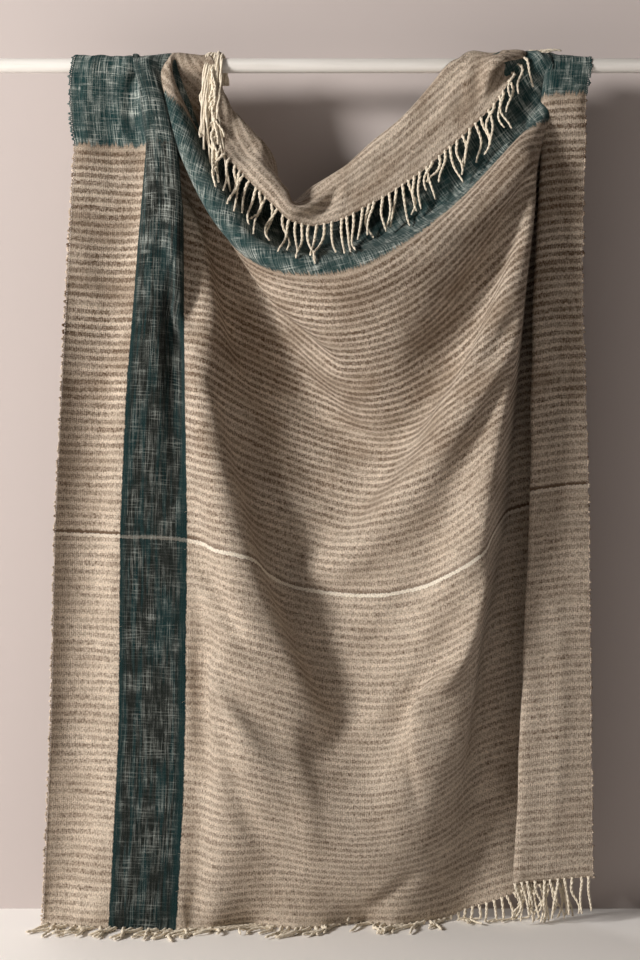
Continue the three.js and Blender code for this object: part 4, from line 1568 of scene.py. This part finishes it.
@dataclass
class Selvedge:
    """Small loops of weft where it turns at both side edges of the cloth. Lengths in millimetres."""

    pitch: float = 3.3
    reach: float = 1.9
    yarn: float = 0.95
    stretch: float = 1.25
    inset: float = 2.0
    rings: int = 7
    sides: int = 4
    least: tuple[float, float, float] = (0.4, 0.75, 0.7)
    most: tuple[float, float, float] = (2.0, 1.2, 1.2)

    def loop(self, finish: bpy.types.Material) -> bpy.types.Object:
        """One half ring of yarn in the plane of the cloth, reaching out along +X.

        Args:
            finish: The wool.

        Returns:
            The loop.
        """
        turn = np.linspace(-math.pi / 2, math.pi / 2, self.rings)[:, None]
        angle = around(self.sides)[None]
        radius = self.reach + self.yarn * np.cos(angle)
        out = radius * np.cos(turn) * self.stretch
        ring = np.stack([out, radius * np.sin(turn), self.yarn * np.sin(angle) + 0 * turn], -1)
        number = np.arange(self.rings * self.sides).reshape(self.rings, self.sides)
        return new_piece("weft_loop", ring.reshape(-1, 3), ring_faces(number), finish)

    def tree(self) -> PointsGraph:
        """The tree that follows an edge line at a pitch.

        Returns:
            The tree's graph.
        """
        g = PointsGraph("selvedge_loops", {"Pitch": self.pitch * MM})
        curve = g.node("GeometryNodeMeshToCurve", {0: g.given["Geometry"]}).outputs[0]
        inputs = {"Curve": curve, "Length": g.given["Pitch"]}
        evenly = g.node("GeometryNodeResampleCurve", inputs, mode="LENGTH").outputs[0]
        out = g.node("GeometryNodeInputNamedAttribute", {"Name": "out"}, data_type="FLOAT_VECTOR").outputs[0]
        along = g.node("GeometryNodeInputTangent").outputs[0]
        facing = g.node("FunctionNodeAlignRotationToVector", {"Vector": out}, axis="X").outputs[0]
        inputs = {"Rotation": facing, "Vector": along}
        turned = g.node("FunctionNodeAlignRotationToVector", inputs, axis="Y", pivot_axis="X").outputs[0]
        g.set_copies(evenly, turned, g.random("FLOAT_VECTOR", self.least, self.most, SEED))
        return g

    def edges(self, grid: np.ndarray) -> bpy.types.Mesh:
        """Both side edges as lines, with the way out of the cloth and the place on it.

        Args:
            grid: The sheet's points.

        Returns:
            The lines as a mesh.
        """
        lines = (grid[0], grid[-1])
        outs = (unit(grid[0] - grid[2]), unit(grid[-1] - grid[-3]))
        count = grid.shape[1]
        mesh = bpy.data.meshes.new("selvedge_lines")
        links = [(side * count + n, side * count + n + 1) for side in (0, 1) for n in range(count - 1)]
        mesh.from_pydata((np.concatenate(lines) * MM).tolist(), links, [])
        out = mesh.attributes.new("out", "FLOAT_VECTOR", "POINT")
        out.data.foreach_set("vector", np.concatenate(outs).ravel())
        down = np.linspace(0, CLOTH_LENGTH, count)
        across = (self.inset, CLOTH_WIDTH - self.inset)
        flat = np.concatenate([np.stack([np.full(count, u), down, 0 * down], 1) for u in across]) * MM
        mesh.attributes.new(CLOTH_MAP, "FLOAT_VECTOR", "POINT").data.foreach_set("vector", flat.ravel())
        return mesh

    def build(self, grid: np.ndarray, finish: bpy.types.Material) -> bpy.types.Object:
        """Makes the loops of both selvedges.

        Args:
            grid: The sheet's points.
            finish: The wool.

        Returns:
            The piece.
        """
        loop = self.loop(finish)
        values = {"Pitch": self.pitch * MM, "Copied": loop, "Finish": finish}
        piece = self.tree().grow("selvedge_loops", self.edges(grid), values)
        bpy.data.objects.remove(loop)
        return piece


@dataclass
class Nap:
    """Loose fibres standing a little off both faces of the cloth. Lengths in millimetres."""

    per_square_metre: float = 19000
    length: float = 7.0
    width: float = 0.26
    lift: float = 1.7
    bow: float = 0.6
    bow_turn: float = 3
    lift_turn: float = 2.3
    lean: float = 0.5
    least: tuple[float, float, float] = (0.4, 0.6, 0.3)
    most: tuple[float, float, float] = (1.3, 1.3, 1.6)
    shares: ClassVar[np.ndarray] = np.array([0, 0.35, 0.7, 1.0])
    widths: ClassVar[np.ndarray] = np.array([1, 1, 0.8])

    def fibre(self, finish: bpy.types.Material) -> bpy.types.Object:
        """One bowed fibre, a tapering ribbon along +X that rises from the cloth.

        Args:
            finish: The wool.

        Returns:
            The fibre.
        """
        bow = self.bow * np.sin(self.shares * self.bow_turn)
        lift = self.lift * np.sin(self.shares * self.lift_turn)
        heart = np.stack([self.shares * self.length, bow, lift], 1)
        half = self.width / 2 * self.widths[:, None] * np.array([[0, 1, 0]])
        points = np.concatenate([heart[:3] - half, heart[:3] + half, heart[3:]])
        faces = [(0, 1, 4), (0, 4, 3), (1, 2, 5), (1, 5, 4), (2, 6, 5)]
        return new_piece("nap_fibre", points, faces, finish)

    def tree(self) -> PointsGraph:
        """The tree that scatters the fibres.

        Returns:
            The tree's graph.
        """
        g = PointsGraph("cloth_nap", {"Density": self.per_square_metre})
        inputs = {"Mesh": g.given["Geometry"], "Density": g.given["Density"], "Seed": SEED}
        scatter = g.node("GeometryNodeDistributePointsOnFaces", inputs).outputs
        turn = g.random("FLOAT_VECTOR", (0, 0, 0), (self.lean, self.lean, 2 * math.pi), SEED + 1)
        flip = g.times(g.math("ROUND", g.random("FLOAT", 0.0, 1.0, SEED + 2)), math.pi)
        rotation = scatter["Rotation"]
        for angles in (g.place(flip, 0.0, 0.0), turn):
            by = g.node("FunctionNodeEulerToRotation", {0: angles}).outputs[0]
            inputs = {"Rotation": rotation, "Rotate By": by}
            rotation = g.node("FunctionNodeRotateRotation", inputs, rotation_space="LOCAL").outputs[0]
        g.set_copies(scatter["Points"], rotation, g.random("FLOAT_VECTOR", self.least, self.most, SEED + 3))
        return g

    def build(self, cloth: bpy.types.Object, finish: bpy.types.Material) -> bpy.types.Object:
        """Makes the nap of the whole cloth.

        Args:
            cloth: The sheet.
            finish: The wool.

        Returns:
            The piece.
        """
        fibre = self.fibre(finish)
        values = {"Density": self.per_square_metre, "Copied": fibre, "Finish": finish}
        piece = self.tree().grow("cloth_nap", cloth.data.copy(), values)
        bpy.data.objects.remove(fibre)
        return piece


@dataclass(frozen=True)
class Stretch:
    """A stretch of fringe: at the top hem or not, from and to across the cloth, and before or behind it."""

    name: str
    at_top: bool
    start: float
    end: float
    side: float


@dataclass
class Fringe:
    """Loose twisted strands at both hems, two plies to each. Lengths in millimetres."""

    count: int = 98
    length: float = 66
    ply_radius: float = 1.9
    ply_offset: float = 1.3
    bundle_size: float = 1.25
    shelf_size: float = 1.3
    shelf_length: float = 1.2
    sides: int = 5
    rings: int = 17
    turns: float = 4.0
    thin_end: float = 0.62
    end_taper: float = 0.7
    aside: ClassVar[np.ndarray] = np.array([0.3, 1.0, 0.2])
    stretches: tuple[Stretch, ...] = (
        Stretch("fringe_top", True, 345, 1150, -1),
        Stretch("fringe_back", True, 0, 330, 1),
        Stretch("fringe_bottom", False, 0, CLOTH_WIDTH, -1),
    )

    # How a strand leaves its hem, turns down and waves, or lies along the shelf
    root: float = 2.0
    keeps: float = 0.72
    turns_down: float = 0.28
    sway: float = 1.2
    curl: float = 4.5
    wave: float = 0.25
    wave_turn: float = 5.0
    near_shelf: float = 3.0
    lies_below: float = 8
    shelf_gap: float = 0.2
    lead: ClassVar[np.ndarray] = np.array([-0.25, -1.0, 0.0])

    # The least and the greatest of what each strand draws
    places: tuple[float, float] = (-0.2, 0.2)
    lengths: tuple[float, float] = (0.80, 1.12)
    sways_across: tuple[float, float] = (-12, 12)
    sways_out: tuple[float, float] = (0, 7)
    leads_across: tuple[float, float] = (-0.9, 0.25)
    leads_up: tuple[float, float] = (-0.15, 0.1)
    lifts: tuple[float, float] = (0.1, 0.9)

    # How it keeps off the cloth and the rod
    clear: float = 3.0
    near: float = 7
    on_shelf: float = 12
    rod_near: float = 5
    rod_clear: float = 6
    most_push: float = 70
    spread: int = 5
    second_share: float = 0.6

    def path(self, grid: np.ndarray, index: int, stretch: Stretch, rng: np.random.Generator) -> np.ndarray:
        """A strand's way: out of the hem, then down clear of the cloth and the rod, or along the shelf.

        Args:
            grid: The sheet's points.
            index: The strand's number along the hem.
            stretch: The stretch of fringe that is being made.
            rng: Draws its small differences.

        Returns:
            The points of the way.
        """
        place = (index + 0.5 + rng.uniform(*self.places)) / self.count * (grid.shape[0] - 1)
        i = min(int(place), grid.shape[0] - 2)
        share = place - i
        rows = (0, 2) if stretch.at_top else (-1, -3)
        hem, inner = ((1 - share) * grid[i, r] + share * grid[i + 1, r] for r in rows)
        way = unit(hem - inner)
        length = self.length * rng.uniform(*self.lengths)
        sway = np.array([rng.uniform(*self.sways_across), stretch.side * rng.uniform(*self.sways_out), 0])
        curl = rng.uniform(-self.curl, self.curl, 3)
        phase = rng.uniform(0, 2 * math.pi, 3)
        steps = self.rings - 1
        points = [hem - way * self.root]
        floor = SHELF_Z + self.ply_radius + self.ply_offset
        length *= self.shelf_length if hem[2] - floor < self.near_shelf else 1.0
        lead = unit(self.lead + np.array([rng.uniform(*self.leads_across), 0, rng.uniform(*self.leads_up)]))
        if points[0][2] - floor < self.near_shelf:
            way = unit(way + np.array([0, -0.5, rng.uniform(*self.lifts)]))
        for n in range(1, steps + 1):
            t = n / steps
            low = points[-1][2] - floor < self.near_shelf
            goal = lead if low else unit(np.array([0, 0, -1.0]) + sway / length * self.sway)
            wave = self.wave * curl * np.sin(phase + t * self.wave_turn) / self.curl
            way = unit(way * self.keeps + goal * self.turns_down + wave * (1, 0.5, 0.6 if low else 1))
            step = points[-1] + way * (length + self.root) / steps
            step[2] = max(step[2], floor)
            points.append(step)
        return np.array(points)

    def kept_clear(self, path: np.ndarray, cloth: np.ndarray, side: float) -> np.ndarray:
        """The way moved off the cloth and the rod.

        Args:
            path: The way.
            cloth: Points of the sheet.
            side: Whether it hangs before them (-1) or behind (1).

        Returns:
            The moved way.
        """
        push = np.zeros(len(path))
        for n, point in enumerate(path):
            near = (np.abs(cloth[:, 0] - point[0]) < self.near) & (np.abs(cloth[:, 2] - point[2]) < self.near)
            if near.any() and point[2] >= SHELF_Z + self.on_shelf and n > 1:
                push[n] = max(0, (cloth[near, 1] * side).max() + self.clear - point[1] * side)
            if abs(point[2]) < ROD_RADIUS + self.rod_near:
                push[n] = max(push[n], ROD_RADIUS + self.rod_clear - point[1] * side)
        push = np.minimum(push, self.most_push)
        padded = np.pad(push, self.spread // 2, mode="edge")
        push = np.maximum(push, np.convolve(padded, np.ones(self.spread) / self.spread, mode="valid"))
        push[0] = 0
        push[1] = min(push[1], push[2] * self.second_share)
        moved = path.copy()
        moved[:, 1] += push * side
        return moved

    @staticmethod
    def bundle(rng: np.random.Generator) -> list[np.ndarray]:
        """The strands of the flap's left corner, which loop over the rod from behind and hang before it.

        Args:
            rng: Draws their small differences.

        Returns:
            Their ways.
        """
        rows = Rows(
            "top_x knee_x knee_z foot_x foot_z",
            (-188, -197, -34, -198, -126),
            (-185, -194, -38, -194, -148),
            (-182, -190, -42, -188, -112),
            (-180, -188, -50, -183, -172),
            (-176, -182, -48, -172, -196),
            (-173, -179, -54, -163, -158),
            (-169, -176, -46, -150, -218),
            (-166, -166, -40, -172, -96),
        )
        paths = []
        for top_x, knee_x, knee_z, foot_x, foot_z in rows:
            drift = rng.uniform(-1.5, 1.5, 3)
            lift = 22 + rng.uniform(0, 8)
            knots = np.array([
                (top_x + 9, 21, -30),
                (top_x + 6, 20, 4),
                (top_x + drift[0], 4, lift),
                (top_x * 0.6 + knee_x * 0.4, -19, 13),
                (knee_x, -25 + drift[1], knee_z),
                (knee_x * 0.4 + foot_x * 0.6 + 3 * drift[2], -33, knee_z * 0.4 + foot_z * 0.6),
                (foot_x, -38 + 2 * drift[1], foot_z),
            ])
            paths.append(smooth_grid(knots, 3))
        return paths

    @staticmethod
    def corner(rng: np.random.Generator) -> list[np.ndarray]:
        """Loose ends where the flap's right corner goes over the rod, each a little longer than the last.

        Args:
            rng: Draws their small differences.

        Returns:
            Their ways.
        """
        paths = []
        shares = np.linspace(0, 1, 7)[:, None]
        bow = np.array([0, 0, 3.5])
        for k in range(5):
            start = np.array([350 + 8 * k, 0.0, ROD_REST + 6])
            reach = np.array([14 + 3 * k, rng.uniform(-4, 4), 1.0 + 0.8 * k])
            paths.append(start + reach * shares + bow * np.sin(shares * math.pi))
        return paths

    def tube(self, path: np.ndarray, phase: float, size: float) -> tuple[np.ndarray, list[list[int]]]:
        """Two plies twisted round a way, closed and tapered at the ends.

        Args:
            path: The way.
            phase: Where the twist starts.
            size: How thick it is beside a usual strand.

        Returns:
            The points and the faces.
        """
        count = len(path)
        along = unit(np.gradient(path, axis=0))
        across = unit(np.cross(along, self.aside))
        up = np.cross(along, across)
        twist = phase + np.linspace(0, 2 * math.pi * self.turns, count)
        taper = np.clip((count - np.arange(count)) * self.end_taper, 0, 1) ** 0.5
        taper = size * np.linspace(1.0, self.thin_end, count) * taper
        angles = around(self.sides)[None, :, None]
        ring = across[:, None] * np.cos(angles) + up[:, None] * np.sin(angles)
        points, faces = [], []
        for ply in range(2):
            turn = (twist + ply * math.pi)[:, None]
            heart = path + (across * np.cos(turn) + up * np.sin(turn)) * self.ply_offset * taper[:, None]
            points.append((heart[:, None] + ring * self.ply_radius * taper[:, None, None]).reshape(-1, 3))
            number = (ply * count * self.sides + np.arange(count * self.sides)).reshape(count, self.sides)
            faces += ring_faces(number).tolist()
            for end, way in ((number[0], 1), (number[-1], -1)):
                faces += [[end[0], *end[k:k + 2][::way]] for k in range(1, self.sides - 1)]
        return np.concatenate(points), faces

    def ways(
        self, grid: np.ndarray, stretch: Stretch, rng: np.random.Generator
    ) -> list[tuple[np.ndarray, float]]:
        """The ways of a stretch's strands.

        Args:
            grid: The sheet's points.
            stretch: The stretch.
            rng: Draws their small differences.

        Returns:
            Each strand's way, and how thick it is beside a usual one.
        """
        cloth = grid[::2, ::2].reshape(-1, 3)
        ways = []
        for index in range(self.count):
            path = self.path(grid, index, stretch, rng)
            if stretch.start <= (index + 0.5) * CLOTH_WIDTH / self.count <= stretch.end:
                size = self.shelf_size if path[0][2] < SHELF_Z + self.lies_below else 1.0
                ways.append((self.kept_clear(path, cloth, stretch.side), size))
        if stretch.name == "fringe_top":
            ways += [(path, self.bundle_size) for path in self.bundle(rng)]
            ways += [(path, 1.0) for path in self.corner(rng)]
        return ways

    def build(self, grid: np.ndarray, finish: bpy.types.Material) -> list[bpy.types.Object]:
        """Makes the stretches of fringe, each one piece.

        Args:
            grid: The sheet's points.
            finish: The yarn.

        Returns:
            The pieces.
        """
        pieces = []
        for order, stretch in enumerate(self.stretches):
            rng = np.random.default_rng(SEED + order)
            points, faces, base = [], [], 0
            for path, size in self.ways(grid, stretch, rng):
                strand_points, strand_faces = self.tube(path, rng.uniform(0, 2 * math.pi), size)
                points.append(strand_points)
                faces += [[base + int(k) for k in face] for face in strand_faces]
                base += len(strand_points)
            vertices = np.concatenate(points)
            vertices[:, 2] = np.maximum(vertices[:, 2], SHELF_Z + self.shelf_gap)
            piece = new_piece(stretch.name + "_strands", vertices, faces, finish)
            finish_piece(piece, Slot.YARN, stretch.name)
            pieces.append(piece)
        return pieces


@dataclass
class Rod:
    """The painted rod, with eased ends. Lengths in millimetres."""

    length: float = 1100
    sides: int = 64
    ease: float = 1.5
    ease_steps: int = 5

    def build(self, finish: bpy.types.Material) -> bpy.types.Object:
        """Turns the rod along its axis.

        Args:
            finish: The paint.

        Returns:
            The rod.
        """
        half = self.length / 2
        turn = np.linspace(math.pi / 2, 0, self.ease_steps)
        eased = (self.ease * (1 - np.sin(turn)) - half, ROD_RADIUS - self.ease * (1 - np.cos(turn)))
        end = np.stack(eased, 1)
        profile = np.concatenate([end, end[::-1] * (-1, 1)])
        x, radius = profile[:, :1], profile[:, 1:]
        angles = around(self.sides)
        rings = np.stack([x + 0 * angles, radius * np.cos(angles), radius * np.sin(angles)], -1)
        points = np.concatenate([rings.reshape(-1, 3), [(-half, 0, 0), (half, 0, 0)]])
        number = np.arange(len(profile) * self.sides).reshape(len(profile), self.sides)
        after = np.roll(number, -1, axis=1)
        faces = np.stack([number[:-1], after[:-1], after[1:], number[1:]], -1).reshape(-1, 4).tolist()
        left, right = number.size, number.size + 1
        faces += [[left, b, a] for a, b in zip(number[0].tolist(), after[0].tolist())]
        faces += [[right, a, b] for a, b in zip(number[-1].tolist(), after[-1].tolist())]
        piece = new_piece("rod_painted", points, faces, finish)
        finish_piece(piece, Slot.ROD, "rod")
        return piece


@dataclass(frozen=True)
class Lamp:
    """A round soft light, aimed at the middle of the blanket. Metres and watts."""

    name: str
    place: tuple[float, float, float]
    size: float
    power: float
    tint: tuple[float, float, float]
    aim: tuple[float, float, float] = (0.0, 0.0, -0.7)

    def build(self) -> None:
        """Adds the light to the scene."""
        light = bpy.data.lights.new(self.name, "AREA")
        light.shape = "DISK"
        light.size = self.size
        light.energy = self.power
        light.color = self.tint
        lamp = placed(self.name, light)
        lamp.location = self.place
        way = Vector(self.aim) - Vector(self.place)
        lamp.rotation_euler = way.to_track_quat("-Z", "Y").to_euler()


@dataclass
class Studio:
    """A plain pale floor and backdrop, a soft key light from the left, and the camera.

    The floor and backdrop are in millimetres, the rest in metres.
    """

    reach: float = 6000
    wall_y: float = 135
    wall_top: float = 3000
    stage_roughness: float = 0.9
    floor_tone: tuple = colour(0.89, 0.86, 0.83)
    wall_tone: tuple = colour(0.55, 0.485, 0.465)
    air_tone: tuple = colour(0.80, 0.73, 0.68)
    air_strength: float = 0.07
    distance: float = 3.5
    look_at: float = -0.70
    frame_height: float = 1.622
    sensor: float = 36.0
    lamps: tuple[Lamp, ...] = (
        Lamp("key", (-4.0, -2.75, 0.75), 1.05, 300, (1.0, 0.97, 0.935)),
        Lamp("fill", (2.4, -3.4, 0.4), 2.5, 3, (1.0, 0.95, 0.9)),
        Lamp("back", (-1.2, 3.2, 1.0), 2.0, 30, (1.0, 0.98, 0.95)),
    )

    def surface(self, name: str, corners: Sequence, tone: tuple, see_through: bool) -> None:
        """A plain floor or backdrop.

        Args:
            name: Its name.
            corners: Its four corners.
            tone: Its colour.
            see_through: Whether it is unseen from behind and casts no shadow.
        """
        material, graph, shader = new_material(name)
        graph.feed(shader, {"Base Color": tone, "Roughness": self.stage_roughness})
        if see_through:
            behind = graph.node("ShaderNodeNewGeometry").outputs["Backfacing"]
            shadow = graph.node("ShaderNodeLightPath").outputs["Is Shadow Ray"]
            clear = graph.node("ShaderNodeBsdfTransparent").outputs[0]
            share = graph.math("MAXIMUM", behind, shadow)
            mixed = graph.node("ShaderNodeMixShader", {0: share, 1: shader.outputs[0], 2: clear}).outputs[0]
            graph.feed(material.node_tree.nodes["Material Output"], {"Surface": mixed})
        new_piece(name, corners, [(0, 1, 2, 3)], material)

    def build(self) -> None:
        """Sets up the stage, the lights and the camera."""
        far, wall, low, top = self.reach, self.wall_y, SHELF_Z, self.wall_top
        floor = [(-far, -far, low), (far, -far, low), (far, far, low), (-far, far, low)]
        self.surface("floor", floor, self.floor_tone, False)
        backdrop = [(-far, wall, low), (far, wall, low), (far, wall, top), (-far, wall, top)]
        self.surface("backdrop", backdrop, self.wall_tone, True)
        for lamp in self.lamps:
            lamp.build()
        scene = bpy.context.scene
        scene.world = bpy.data.worlds.new("studio")
        scene.world.use_nodes = True
        air = scene.world.node_tree.nodes["Background"].inputs
        air[0].default_value = self.air_tone
        air[1].default_value = self.air_strength
        scene.view_settings.view_transform = "Standard"
        data = bpy.data.cameras.new("camera")
        data.sensor_width = self.sensor
        data.lens = self.sensor * self.distance / self.frame_height
        camera = placed("camera", data)
        camera.location = (0.0, -self.distance, self.look_at)
        camera.rotation_euler = (math.pi / 2, 0.0, 0.0)
        scene.camera = camera


def main() -> None:
    """Builds the blanket on its rod and reports each piece."""
    logging.basicConfig(level=logging.INFO, format="%(name)s %(message)s")
    Studio().build()
    fibre = FibreGroup().build()
    weave = Weave().build(fibre)
    wool = WoolFinish("woven_wool", Pattern.MAP, weave).build()
    yarn = YarnFinish("fringe_yarn", fibre).build()
    blanket = Blanket()
    grid = blanket.surface(Drape().run())
    cloth = blanket.build(grid, wool)
    finish_piece(cloth, Slot.WOOL, "blanket")
    tufted = WoolFinish("napped_wool", Pattern.ATTRIBUTE, weave).build()
    loops = Selvedge().build(grid, tufted)
    nap = Nap().build(cloth, tufted)
    for piece in (loops, nap):
        finish_piece(piece, Slot.WOOL)
    strands = Fringe().build(grid, yarn)
    Rod().build(PaintFinish().build())


if __name__ == "__main__":
    main()
